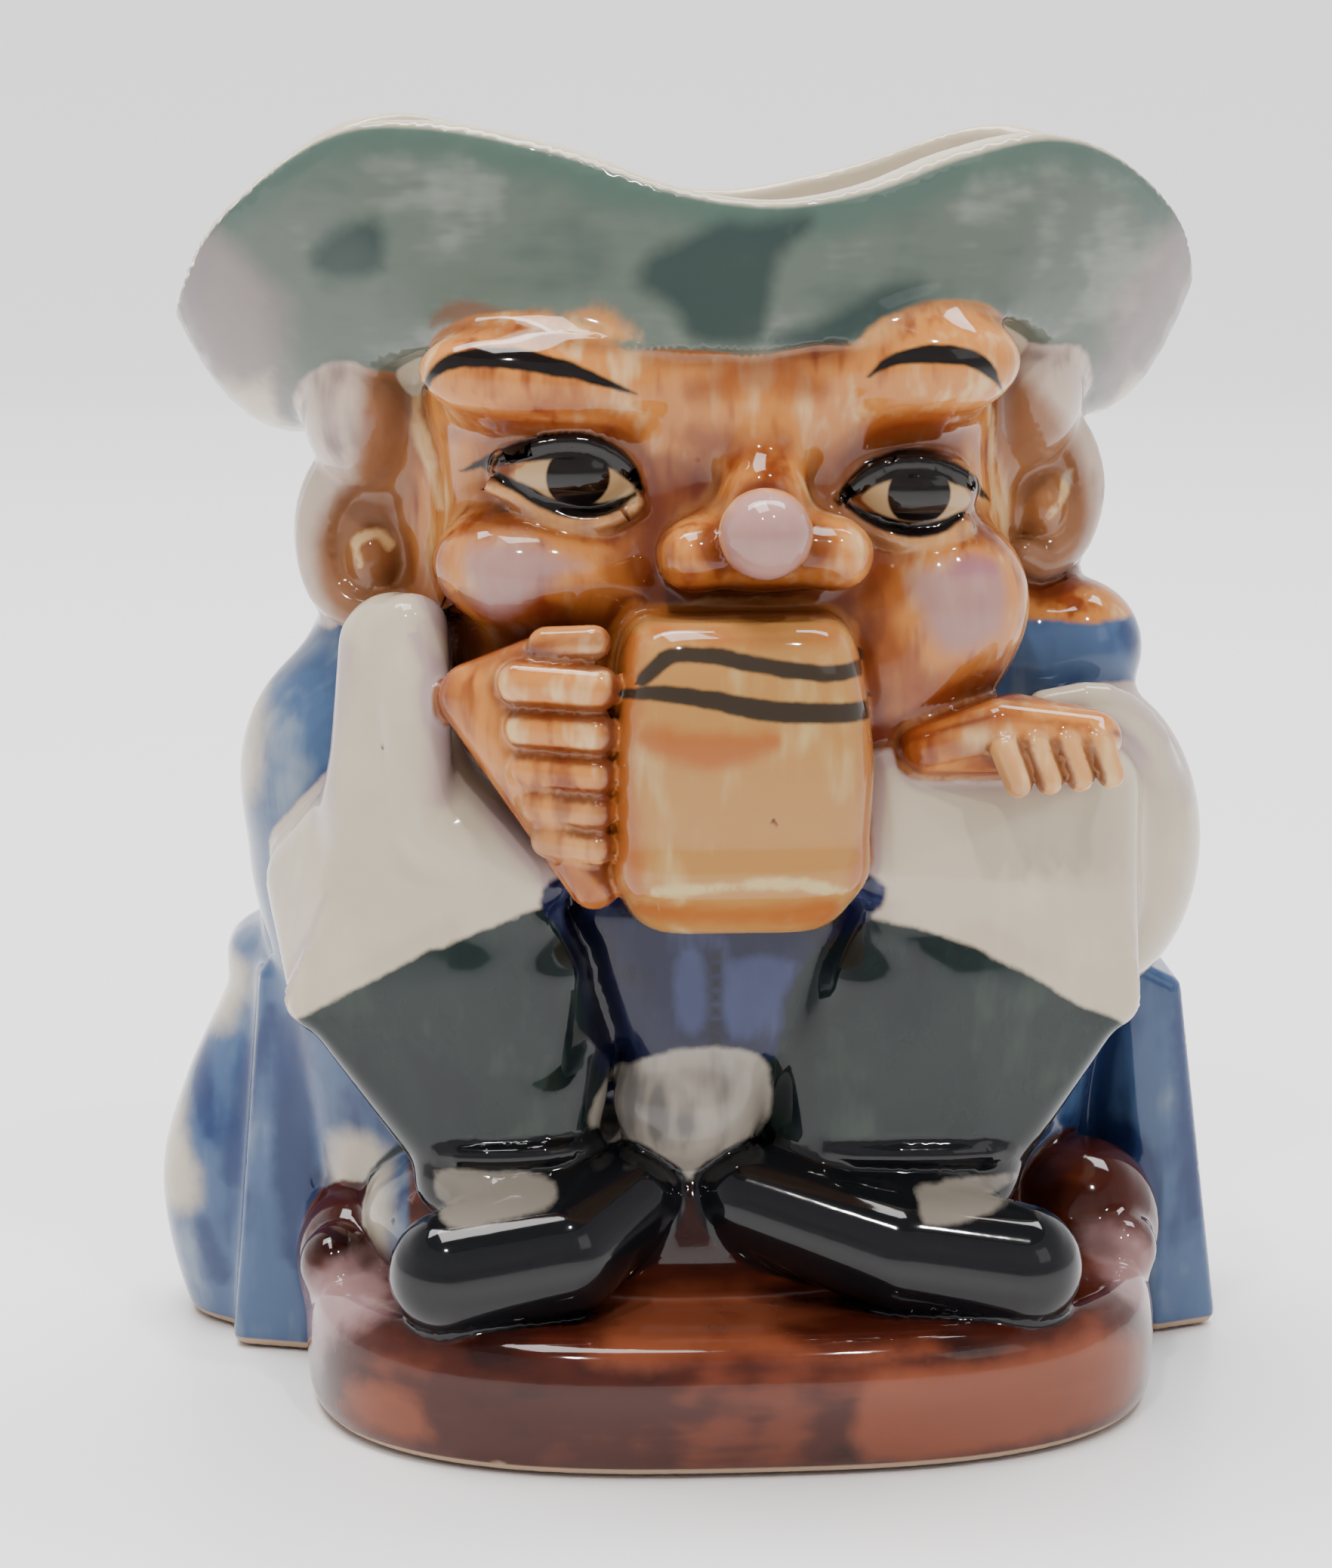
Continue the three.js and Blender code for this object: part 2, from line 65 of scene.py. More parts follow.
# The figure's places are in hundredths of the jug's height, counted from the ground and from the
# plinth's middle. The skirt's furthest pleat and the nose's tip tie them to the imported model.
LOW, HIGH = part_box("toby_jug")
UNIT = (HIGH.z - LOW.z) / 100
MM = 0.001 / UNIT
PLEAT_LEFT = -46.2
NOSE_FRONT = -37.5
SHIFT = np.array([LOW.x / UNIT - PLEAT_LEFT, LOW.y / UNIT - NOSE_FRONT, 0.0])
LOW_CORNER = np.array(LOW) / UNIT - SHIFT
HIGH_CORNER = np.array(HIGH) / UNIT - SHIFT


def to_metres(points):
    """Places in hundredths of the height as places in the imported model's frame."""
    return (np.asarray(points, float) + SHIFT) * UNIT


# Camera
VIEW_AZIMUTH = math.radians(-4.0)
VIEW_ELEVATION = math.radians(9.5)
VIEW_DISTANCE = 294.0
VIEW_AIM = (-4.18, 0.29, 46.15)
FOCAL_PX = 4775
FRAME_HEIGHT_PX = 2076
SENSOR_MM = 36.0


def camera():
    """The photograph's view: a long lens a little above the mug, slightly from the left."""
    data = bpy.data.cameras.new("view")
    data.sensor_width = SENSOR_MM
    data.lens = FOCAL_PX / FRAME_HEIGHT_PX * SENSOR_MM
    data.clip_start = 0.01
    eye = bpy.data.objects.new("view", data)
    bpy.context.scene.collection.objects.link(eye)
    back = Vector((
        math.sin(VIEW_AZIMUTH) * math.cos(VIEW_ELEVATION),
        -math.cos(VIEW_AZIMUTH) * math.cos(VIEW_ELEVATION),
        math.sin(VIEW_ELEVATION),
    ))
    eye.location = Vector(to_metres(VIEW_AIM)) + back * VIEW_DISTANCE * UNIT
    eye.rotation_mode = "QUATERNION"
    eye.rotation_quaternion = (-back).to_track_quat("-Z", "Y")
    bpy.context.scene.camera = eye


# Forms. Each is a centre, a reach and a function that gives the distance to its surface, which is
# negative inside.
FAR = 60.0
NEAR = 3.0


def length(vectors):
    return np.sqrt((vectors * vectors).sum(axis=1))


def smooth_min(a, b, soft):
    """The union of two forms, with a fillet of about the given size where they meet."""
    if soft <= 0:
        return np.minimum(a, b)
    overlap = np.maximum(soft - np.abs(a - b), 0.0) / soft
    return np.minimum(a, b) - overlap * overlap * soft * 0.25


def smooth_max(a, b, soft):
    return -smooth_min(-a, -b, soft)


def eased(value, places, amounts):
    """Amounts interpolated over places by a smooth curve through them."""
    places = np.asarray(places, float)
    amounts = np.asarray(amounts, float)
    steepness = np.gradient(amounts, places)
    value = np.clip(value, places[0], places[-1])
    index = np.clip(np.searchsorted(places, value) - 1, 0, len(places) - 2)
    gap = places[index + 1] - places[index]
    t = (value - places[index]) / gap
    start = (1 + 2 * t) * (1 - t) ** 2 * amounts[index]
    leave = t * (1 - t) ** 2 * gap * steepness[index]
    end = t * t * (3 - 2 * t) * amounts[index + 1]
    arrive = t * t * (t - 1) * gap * steepness[index + 1]
    return start + leave + end + arrive


def curve_through(knots, steps, closed=False):
    """Points on a smooth curve through the knots, with some steps between each two."""
    knots = np.asarray(knots, float)
    if closed:
        padded = np.vstack([knots[-1], knots, knots[0], knots[1]])
    else:
        padded = np.vstack([2 * knots[0] - knots[1], knots, 2 * knots[-1] - knots[-2]])
    spans = len(padded) - 3
    points = []
    for i in range(spans):
        p0, p1, p2, p3 = padded[i:i + 4]
        for step in range(steps):
            t = step / steps
            points.append(0.5 * (
                2 * p1 + (p2 - p0) * t + (2 * p0 - 5 * p1 + 4 * p2 - p3) * t * t
                + (3 * p1 - p0 - 3 * p2 + p3) * t ** 3
            ))
    if not closed:
        points.append(knots[-1])
    return np.array(points)


def ball(centre, radii, turn=(0, 0, 0)):
    """An ellipsoid, turned about X, Y and Z in degrees."""
    centre = np.array(centre, float)
    radii = np.array(radii, float)
    spin = np.array(Euler([math.radians(angle) for angle in turn]).to_matrix())

    def distance(points):
        local = (points - centre) @ spin
        scaled = length(local / radii)
        steep = length(local / radii ** 2)
        return scaled * (scaled - 1) / np.maximum(steep, 1e-6)

    return centre, radii.max(), distance


STEEPEST_TAPER = 0.98


def cone_gap(points, start, end):
    """Distance to the round-ended cone between two balls [x, y, z, radius]."""
    span = end[:3] - start[:3]
    size = math.sqrt(span @ span)
    taper = np.clip((end[3] - start[3]) / size, -STEEPEST_TAPER, STEEPEST_TAPER)
    away = points - start[:3]
    along = away @ span / size
    aside = np.sqrt(np.maximum((away * away).sum(axis=1) - along * along, 0))
    share = np.clip((along + aside * taper / math.sqrt(1 - taper * taper)) / size, 0, 1)
    return length(away - share[:, None] * span) - start[3] - share * (end[3] - start[3])


def roll(*knots, steps=0):
    """A round roll along knots [x, y, z, radius]. Steps above 0 run it along a smooth curve."""
    path = curve_through(knots, steps) if steps else np.array(knots, float)

    def distance(points):
        best = np.full(len(points), FAR)
        for start, end in zip(path[:-1], path[1:]):
            best = np.minimum(best, cone_gap(points, start, end))
        return best

    centre = (path[:, :3].min(0) + path[:, :3].max(0)) / 2
    reach = max(length(path[:, :3] - centre) + path[:, 3])
    return centre, reach, distance


def outer_sides(corners):
    """The outward direction and one corner of each face around a set of points."""
    sides = []
    for face in combinations(range(len(corners)), 3):
        a, b, c = corners[list(face)]
        out = np.cross(b - a, c - a)
        out = out / math.sqrt(out @ out)
        depths = (corners - a) @ out
        if depths.max() < 1e-6 or depths.min() > -1e-6:
            sides.append((out if depths.max() < 1e-6 else -out, a))
    return sides


def wrap(balls):
    """The tight skin around several balls [x, y, z, radius]."""
    balls = np.array(balls, float)
    sides = outer_sides(balls[:, :3])
    pairs = list(combinations(range(len(balls)), 2))
    flats = []
    for a, b, c in (balls[list(face)] for face in combinations(range(len(balls)), 3)):
        spans = np.array([b[:3] - a[:3], c[:3] - a[:3]])
        shares = np.linalg.pinv(spans)
        taper = shares @ [b[3] - a[3], c[3] - a[3]]
        out = np.cross(*spans)
        if taper @ taper < STEEPEST_TAPER ** 2:
            flats.append((out / math.sqrt(out @ out), a, shares, taper))

    def distance(points):
        best = np.full(len(points), FAR)
        for i, j in pairs:
            best = np.minimum(best, cone_gap(points, balls[i], balls[j]))
        for out, a, shares, taper in flats:
            away = points - a[:3]
            height = np.abs(away @ out)
            flat = math.sqrt(1 - taper @ taper)
            across = (away + height[:, None] * taper / flat) @ shares
            over = (across.min(axis=1) > 0) & (across.sum(axis=1) < 1)
            gap = height * flat - a[3] - away @ taper
            best = np.where(over, np.minimum(best, gap), best)
        if len(balls) < 4:
            return best
        within = np.max([(points - start) @ out for out, start in sides], axis=0)
        return np.minimum(best, within)

    centre = balls[:, :3].mean(axis=0)
    reach = max(length(balls[:, :3] - centre) + balls[:, 3])
    return centre, reach, distance


PLEATS_AROUND = 14


def oval_gap(points, x, y, half_width, half_depth, power, pleats=0.0):
    """Distance from a rounded-rectangle section, measured towards its middle."""
    dx = points[:, 0] - x
    dy = points[:, 1] - y
    angle = np.arctan2(dy / half_depth, dx / half_width)
    behind = np.sqrt(np.maximum(0.0, np.sin(angle + 0.15)))
    swell = 1 + pleats * behind * np.cos(angle * PLEATS_AROUND)
    share = (np.abs(dx / half_width) ** power + np.abs(dy / half_depth) ** power) ** (1 / power)
    share = np.maximum(share, 1e-3) / swell
    return np.hypot(dx, dy) * (1 - 1 / share)


def levels(rows, soft=1.5):
    """A lofted form. Rows are height, middle x and y, half width, half depth, power and pleats."""
    rows = np.array([tuple(row) + (0.0,) * (7 - len(row)) for row in rows])
    heights = rows[:, 0]

    def distance(points):
        z = points[:, 2]
        values = [eased(z, heights, rows[:, k]) for k in range(1, 7)]
        sides = oval_gap(points, *values)
        ends = np.abs(z - (heights[0] + heights[-1]) / 2) - (heights[-1] - heights[0]) / 2
        return smooth_max(sides, ends, soft)

    centre = np.array([rows[:, 1].mean(), rows[:, 2].mean(), heights.mean()])
    reach = math.hypot(rows[:, 3:5].max() * 1.2, (heights[-1] - heights[0]) * 0.6) + 4
    return centre, reach, distance


# Cast walls, in the jug's own units
WALL = 3.0 * MM
LIP = 2.5 * MM
FLOOR = 4.0 * MM

TORSO = [
    (1, -1.5, 4, 30, 18, 2.4),
    (20, -2, 3, 33, 19, 2.4),
    (32, -2, 2, 34.5, 20, 2.4),
    (42, -2.5, 1, 35.6, 21, 2.3),
    (50, -2.5, 1, 34.6, 21, 2.3),
    (57, -2, 1, 31.5, 20, 2.3),
    (61.5, -1.5, 0, 29.8, 19.4, 2.3),
    (63.4, -1.5, -1, 27.6, 18.2, 2.3),
    (70, -1.5, -1, 27.5, 18.6, 2.3),
    (77, -2, -2, 27, 18, 2.3),
    (82, -2, -3, 23, 15, 2.3),
]
FACE = [
    (50, -1, -10, 17, 13, 2.4),
    (55, -1, -10, 20, 16.2, 2.6),
    (60, -1, -9, 21, 17.6, 3.0),
    (66, -1, -8.5, 21.8, 17.6, 3.2),
    (70, -1.3, -8.2, 21.6, 17.2, 3.2),
    (74, -1.6, -8, 21.6, 17.4, 3.2),
    (79, -2, -8, 22, 18.6, 3.2),
    (82, -2, -8, 21.4, 19, 3.0),
    (86, -2.5, -8, 19.5, 18.0, 2.6),
]

# The hat's lip, anticlockwise from the right corner: right, back, left and front.
LIP_POINTS = [
    (37.8, -2, 87), (35.4, 6, 93.6), (26.5, 13, 99.3), (13, 17.2, 95.8), (0, 18.6, 94),
    (-15.5, 17.8, 97.6), (-29, 13.5, 100), (-40.4, 6, 92), (-43.2, -2, 85), (-39.8, -10.6, 91.6),
    (-31.5, -17, 98), (-24, -20.5, 99), (-14, -24, 97.1), (-5.5, -27, 94.3), (1.8, -28.4, 93.3),
    (9, -27, 94.4), (16, -24, 96.8), (23.5, -20, 98.2), (30, -15, 96.4), (35.8, -8.6, 91.8),
]
# Where the hat leaves the head, at the same places as the lip.
CROWN_POINTS = [
    (28.5, -2, 76), (25, 8, 76.5), (18.5, 13.8, 77.5), (8, 17, 78), (-3, 17.8, 78),
    (-14, 17, 78), (-23, 13.8, 77.5), (-29.5, 7, 76), (-32.8, -2, 75), (-29.5, -12, 78.6),
    (-25.5, -17.5, 81.6), (-20.5, -22.5, 83), (-13, -26.2, 83.2), (-6, -27.7, 82.8),
    (0.5, -28.2, 82.6), (7, -27.7, 83.4), (13, -25.8, 84.6), (18.5, -22.4, 85), (23, -17, 83),
    (26.6, -10, 79),
]
HAT_MIDDLE = np.array([-2.5, -4.0])
HAT_ANGLES = 144
HAT_STEPS = 6


def hat_ring(share, inset):
    """Radius and height around the hat's middle. Share 0 is at the head, and 1 is the lip."""
    crown = curve_through(CROWN_POINTS, HAT_STEPS, closed=True)
    lip = curve_through(LIP_POINTS, HAT_STEPS, closed=True)
    outwards = share ** 0.55
    upwards = share ** 1.35
    flat = crown[:, :2] + (lip[:, :2] - crown[:, :2]) * outwards - HAT_MIDDLE
    height = crown[:, 2] + (lip[:, 2] - crown[:, 2]) * upwards
    return around_middle(np.arctan2(flat[:, 1], flat[:, 0]), length(flat) - inset, height)


def around_middle(angle, radius, height):
    """Radius and height resampled at even angles."""
    order = np.argsort(angle)
    even = np.linspace(-math.pi, math.pi, HAT_ANGLES + 1)
    return np.stack([
        np.interp(even, angle[order], values[order], period=2 * math.pi)
        for values in (radius, height)
    ])


def oval_ring(row, inset):
    """A level of a lofted form as radius and height around the hat's middle."""
    z, x, y, half_width, half_depth, power = row
    t = np.linspace(-math.pi, math.pi, 4 * HAT_ANGLES, endpoint=False)
    c, s = np.cos(t), np.sin(t)
    flat = np.stack([
        x + np.sign(c) * np.abs(c) ** (2 / power) * (half_width - inset),
        y + np.sign(s) * np.abs(s) ** (2 / power) * (half_depth - inset),
    ], axis=1) - HAT_MIDDLE
    return around_middle(np.arctan2(flat[:, 1], flat[:, 0]), length(flat), np.full(len(t), z))


def profile_lookup(rings, points):
    """Each point's radius, and the radius and height of every ring at that point's angle."""
    flat = points[:, :2] - HAT_MIDDLE
    place = (np.arctan2(flat[:, 1], flat[:, 0]) + math.pi) / (2 * math.pi) * HAT_ANGLES
    index = np.clip(place.astype(int), 0, HAT_ANGLES - 1)
    share = place - index
    found = [ring[:, index] * (1 - share) + ring[:, index + 1] * share for ring in rings]
    return length(flat), found


def profile_gap(radius, height, profile):
    """Distance in an upright plane to the line through the rings."""
    best = np.full(len(radius), FAR)
    for low, high in zip(profile[:-1], profile[1:]):
        dr, dz = high[0] - low[0], high[1] - low[1]
        size = np.maximum(dr * dr + dz * dz, 1e-9)
        share = np.clip(((radius - low[0]) * dr + (height - low[1]) * dz) / size, 0, 1)
        best = np.minimum(best, np.hypot(radius - low[0] - share * dr, height - low[1] - share * dz))
    return best


HAT_SHARES = (0, 0.03, 0.1, 0.22, 0.38, 0.56, 0.76, 0.94)


def ringed(rings, reach):
    """A form whose section is set by rings around the hat's middle, from the lowest up."""

    def distance(points):
        radius, profile = profile_lookup(rings, points)
        gap = profile_gap(radius, points[:, 2], profile)
        within = np.zeros(len(points), bool)
        for low, high in zip(profile[:-1], profile[1:]):
            share = (points[:, 2] - low[1]) / np.maximum(high[1] - low[1], 1e-6)
            wall = low[0] + share * (high[0] - low[0])
            within |= (share >= 0) & (share <= 1) & (radius < wall)
        return np.where(within, -gap, gap)

    height = (rings[0][1].mean() + rings[-1][1].mean()) / 2
    return np.array([*HAT_MIDDLE, height]), reach, distance


def centred(ring):
    """The same height as a ring, drawn in to the middle."""
    return ring * np.array([[0.0], [1.0]])


def cocked_hat():
    """The cocked hat from where it leaves the head up to its rounded lip, still filled."""
    rings = [hat_ring(share, 0) for share in HAT_SHARES]
    rounded = [hat_ring(0.97, 0.15), hat_ring(0.99, 0.45), hat_ring(1, 1.0)]
    return ringed([centred(rings[0]), *rings, *rounded, centred(rounded[-1])], 52.0)


def hollow():
    """The inside of the jug, open at the lip."""
    bottom = oval_ring((FLOOR, -1.5, 3, 29, 16, 2.4), WALL)
    inside = [oval_ring(row, WALL) for row in TORSO[1:-1]]
    brim = [hat_ring(share, LIP) for share in (*HAT_SHARES[4:], 1)]
    above = brim[-1] + np.array([[0.0], [20.0]])
    return ringed([centred(bottom), bottom, *inside, *brim, above], 100.0)


# Painted lines as they stand seen from the front: x, z and half width along one brush stroke.
BROWS = [
    [(-23.7, 79.1, 0.1), (-22.9, 80.9, 0.35), (-21.2, 81.9, 0.6), (-18.9, 82.1, 0.7),
     (-16.9, 82, 0.75), (-14.8, 81.6, 0.7), (-12.7, 81.1, 0.55), (-10.6, 80.3, 0.35),
     (-8.1, 79.4, 0.02)],
    [(8.5, 80.6, 0.1), (9.9, 81.7, 0.4), (11.8, 82.2, 0.6), (13.7, 82.3, 0.7),
     (15.9, 82, 0.65), (17.5, 81, 0.45), (18.8, 79.4, 0.02)],
]
LID_LEFT = [
    (-20.9, 73.3, 0.1), (-18.9, 74.3, 0.4), (-16.4, 75.2, 0.75), (-14.0, 75.7, 0.95),
    (-11.7, 75.6, 0.95), (-9.7, 74.7, 0.8), (-8.4, 73.4, 0.55), (-7.8, 72.2, 0.1),
]
LID_RIGHT = [
    (6.9, 71.5, 0.3), (7.6, 72.2, 0.6), (9.2, 73.5, 0.85), (11.2, 74.2, 0.95),
    (13.6, 74.1, 0.9), (15.6, 73.3, 0.7), (17.6, 72.0, 0.45), (19.4, 70.6, 0.05),
]
UNDER_LEFT = [
    (-19.4, 73.9, 0.15), (-16.8, 72.6, 0.45), (-14.8, 71.5, 0.5), (-12.5, 70.9, 0.55),
    (-10.1, 71.1, 0.4), (-8.2, 72.1, 0.15),
]
UNDER_RIGHT = [
    (7.2, 71.2, 0.2), (9.3, 70.1, 0.45), (11.6, 69.4, 0.55), (14, 69.5, 0.5), (16, 70.5, 0.2),
]
MUG_STRIPE_HIGH = [
    (-8.6, 59.4, 0.4), (-7.9, 60.1, 0.5), (-6.9, 61.1, 0.55), (-5.8, 61.5, 0.55),
    (-3.1, 61.4, 0.6), (-0.4, 60.8, 0.6), (2.8, 60.3, 0.6), (5.5, 60.1, 0.6), (8.4, 60.3, 0.5),
]
MUG_STRIPE_LOW = [
    (-9.8, 58.4, 0.3), (-7.9, 58.8, 0.55), (-5.8, 58.7, 0.6), (-3.1, 58.3, 0.7),
    (-0.4, 57.7, 0.75), (2.8, 57.4, 0.75), (8.6, 57.2, 0.65),
]
HAT_STROKE = [(-23.4, 83.9, 0.2), (-21.4, 85.2, 0.9), (-18, 84.6, 0.8), (-13.8, 83.2, 0.1)]

# Softer strokes and patches, by the paint they are in
# Dark red-brown lines along the hat's edge, beside and under the nose and between the mug and the
# hands: painted shade in the folds and recesses.
FOLDS = [
    [(-26, 82.6, 0.3), (-22, 83.9, 0.6), (-18.7, 84.2, 0.6), (-14.9, 83.6, 0.6),
     (-10.6, 82.9, 0.5), (-5.1, 82.7, 0.4), (-0.2, 83.1, 0.4), (4.8, 83.9, 0.5),
     (8.6, 85, 0.6), (12.5, 86, 0.6), (16.4, 85.8, 0.6), (20, 84, 0.3)],
    [(-6.5, 72.8, 1.3), (-7, 69.4, 0.8), (-7.1, 66.3, 0.8), (-8, 63.9, 0.8), (-10.2, 62.7, 0.7),
     (-14.9, 62, 0.5), (-18.1, 60.4, 0.4)],
    [(-7.2, 74.4, 0.7), (-5.4, 73.4, 1.7), (-3.2, 72.6, 0.7)],
    [(-6.6, 64.9, 0.5), (-4.1, 65.3, 0.9), (-0.5, 64.6, 0.7), (3, 64.5, 1.0), (6.6, 64.4, 0.7),
     (8.6, 63.4, 0.4)],
    [(8.6, 63.4, 0.4), (9.4, 60, 0.6), (9.8, 56, 0.6), (9.8, 52.8, 0.5)],
    [(-9.8, 61.4, 0.4), (-10.6, 57, 0.7), (-10.8, 51, 0.7), (-10.4, 45, 0.5)],
]
# Darker orange dabs under and between the brows, at the nose's root, beside the cheeks and along the
# hands: painted shade.
SKIN_SHADES = [
    [(-21.9, 75.9, 0.6), (-18.7, 77.5, 1.0), (-14.8, 78.4, 1.1), (-10.9, 78.1, 1.0),
     (-8, 76.6, 0.7)],
    [(6.6, 74.1, 0.6), (9.2, 76.4, 1.0), (12.8, 77.3, 1.1), (16.3, 76.5, 1.0), (18.6, 74.3, 0.7)],
    [(-4.5, 79.4, 1.0), (0.8, 81, 1.4), (5.5, 79.6, 1.0)],
    [(-4.4, 76.5, 0.9), (-0.4, 75.3, 1.1), (2.8, 75.8, 0.9)],
    [(-23, 68.4, 0.9), (-22.8, 64, 1.2), (-20, 60.8, 1.1), (-15, 61.6, 0.7)],
    [(9.2, 68, 0.8), (9.8, 63, 1.0), (12, 58.6, 1.2), (16.6, 55.6, 1.0), (20.4, 57.4, 0.7)],
    [(-22.2, 59.5, 0.8), (-22.0, 55, 0.9), (-18.6, 50.4, 0.9), (-14.4, 46, 1.0),
     (-11, 42.4, 1.0)],
    [(12.4, 54.8, 1.0), (15.6, 53.2, 1.2), (18.6, 51, 0.9), (21, 50, 0.6)],
    [(14.6, 57.4, 0.5), (22, 57.4, 0.6), (28, 55.8, 0.5)],
]
# Pale lines down the face's edges and over the lip above the mug: painted highlights.
SKIN_HIGHLIGHTS = [
    [(-23.8, 80.4, 0.3), (-24.3, 77, 0.4), (-23.2, 73.2, 0.35), (-22.3, 70.2, 0.35)],
    [(18.6, 79.8, 0.3), (19.6, 75.6, 0.4), (19.8, 71.6, 0.35), (21.3, 68, 0.35),
     (21.5, 62.4, 0.4), (20, 57.5, 0.3)],
    [(-8.4, 63.0, 0.25), (-3, 63.9, 0.3), (3, 63.8, 0.3), (6.4, 62.8, 0.25)],
]
# Darker orange down the mug's sides and along its base: painted shade. Across its middle and round
# its top: brushed orange.
MUG_SHADES_AND_WASHES = [
    [(-8.9, 62.4, 0.7), (-9.6, 56, 1.0), (-9.6, 50, 1.0), (-9.0, 44.2, 1.0)],
    [(7.3, 61.4, 0.4), (8.0, 56, 0.6), (8.0, 50, 0.6), (7.2, 44.6, 0.8)],
    [(-8.6, 42.8, 1.0), (-1, 42.4, 0.7), (5.4, 42.6, 1.3)],
    [(-8.4, 55.6, 1.0), (-4, 54.8, 1.3), (1, 55.4, 0.8)],
    [(-7.4, 62.9, 0.5), (0, 62.4, 0.3), (5.6, 62.6, 0.4)],
]
# A pale line along the mug's lower bevel: a painted highlight.
MUG_HIGHLIGHTS = [[(-7.8, 44.5, 0.3), (-3, 44.9, 0.35), (2, 45.1, 0.35), (6.2, 44.2, 0.3)]]
SPECKS = [
    [(0.8, 49.7, 0.28), (1.2, 49.2, 0.2), (1.5, 48.4, 0.22)],
    [(-27, 53.9, 0.25), (-26.9, 53.3, 0.3)],
]
BLUSHES = [[(14.6, 66.3, 0.2), (16.6, 66.9, 0.7), (18.4, 66.4, 0.2)]]
# Pale curls in the ears: painted highlights.
SWIRLS = [
    [(-28.6, 65.4, 0.35), (-28.9, 67.2, 0.5), (-27.3, 67.9, 0.5), (-26.2, 66.8, 0.3)],
    [(24.6, 68.8, 0.3), (25.8, 70.2, 0.45), (26.8, 72.6, 0.3)],
]
# Deep blue on the coat: painted shade between the left skirt and leg, beside the left sleeve and
# down the right collar's side; brushed streaks down the skirts.
COAT_FOLDS = [
    [(-34.6, 28, 1.4), (-34.8, 20, 1.8), (-34.2, 8, 1.8)],
    [(-43.6, 25.6, 0.7), (-42.4, 21, 0.9), (-41.8, 16.4, 0.6)],
    [(-36.2, 29, 0.8), (-38.8, 21, 1.0), (-40.2, 13, 0.8)],
    [(-42.8, 9.5, 0.8), (-41.2, 4.5, 1.3)],
    [(-36.6, 58, 0.5), (-38.2, 52, 0.8), (-37.6, 46, 0.7)],
    [(30.6, 60.6, 0.8), (33.4, 56.6, 1.1), (32.6, 53.6, 0.6)],
    [(37.4, 29, 0.6), (38.2, 20, 0.9), (39.4, 10, 0.8)],
]
# Deep navy on the waistcoat: painted shade under the mug, and brushed marks down its left side and
# its middle.
WAIST_FOLDS = [
    [(-13, 41.4, 0.9), (-11.2, 37, 1.0), (-10.4, 31, 0.9), (-8.8, 28.6, 0.5)],
    [(-9.4, 40.9, 0.5), (-1, 40.2, 0.8), (7, 40, 0.5)],
    [(-2.2, 38, 0.5), (-2.3, 33, 0.5), (-2.2, 29.6, 0.35)],
]
# Darker green down the breeches' inner sides and under the sleeves' edges: painted shade.
LAP_FOLDS = [
    [(-16, 40, 0.8), (-14.4, 34, 1.1), (-12.2, 27.6, 1.0), (-10.6, 23.6, 0.7)],
    [(9, 40, 0.8), (6, 34, 1.2), (4, 27.6, 1.2), (4.6, 23, 0.9)],
    [(-34.5, 29.5, 0.5), (-29.5, 23.5, 0.7), (-25.6, 19.6, 0.7)],
    [(30, 29, 0.5), (25.8, 23.5, 0.7), (22.4, 19.6, 0.7)],
]
# Lilac on the sleeves' outer sides and inside the left cuff beside the hand: a lilac tint laid as
# painted shade.
SLEEVE_TINTS_AND_SHADE = [
    [(-29.6, 60.5, 0.9), (-31, 54, 1.0), (-31.6, 47, 0.7)],
    [(-23.4, 62.6, 0.5), (-22.8, 56, 0.7), (-22.6, 49.6, 0.9)],
    [(28.4, 57, 0.7), (33, 53.6, 1.0), (35.6, 47, 0.8)],
]
EYES = [
    [(-17.2, 73.5), (-16, 74.4), (-14, 75.2), (-11.7, 75.3), (-10, 74.4), (-8.2, 72.5),
     (-8.6, 71.4), (-11.7, 71.1), (-14.1, 71.5), (-15.8, 72.3)],
    [(8.4, 71.8), (9.6, 73), (11.6, 73.9), (13.6, 73.8), (15.2, 72.9), (16.6, 71.5), (15.2, 70.3),
     (12.8, 69.9), (10.4, 70.2), (9, 71)],
]
IRISES = [(-12.5, 73.4), (12.5, 72)]
IRIS_RADIUS = 2.35
CHEEKS = [
    [(-22, 66.8), (-20.8, 69.3), (-17.2, 70.1), (-13.3, 68.7), (-11.2, 67), (-14.9, 64.7),
     (-17.3, 62.8), (-20, 63.2)],
    [(10.8, 66.1), (12.7, 67.5), (16.3, 68.3), (19.3, 67.2), (19.9, 64.5), (19.2, 61),
     (14.8, 59.4), (12, 62.1)],
]
HAT_DARKS = [
    [(-7.1, 89.3), (-4.6, 90.4), (-2, 91.8), (0.2, 91.6), (4.3, 91.8), (1.8, 89.4), (1.2, 86.4),
     (0.4, 83.4), (-4.3, 83.4), (-5.3, 85.6), (-8, 87.3)],
    [(1.3, 83.2), (4.3, 84.2), (7.4, 85.6), (10.4, 86.8), (12.4, 86.6), (8.4, 83.8), (4.9, 82.6)],
    [(-31.8, 89), (-29.6, 91), (-27, 91.8), (-26.8, 88.4), (-30, 87.6)],
]
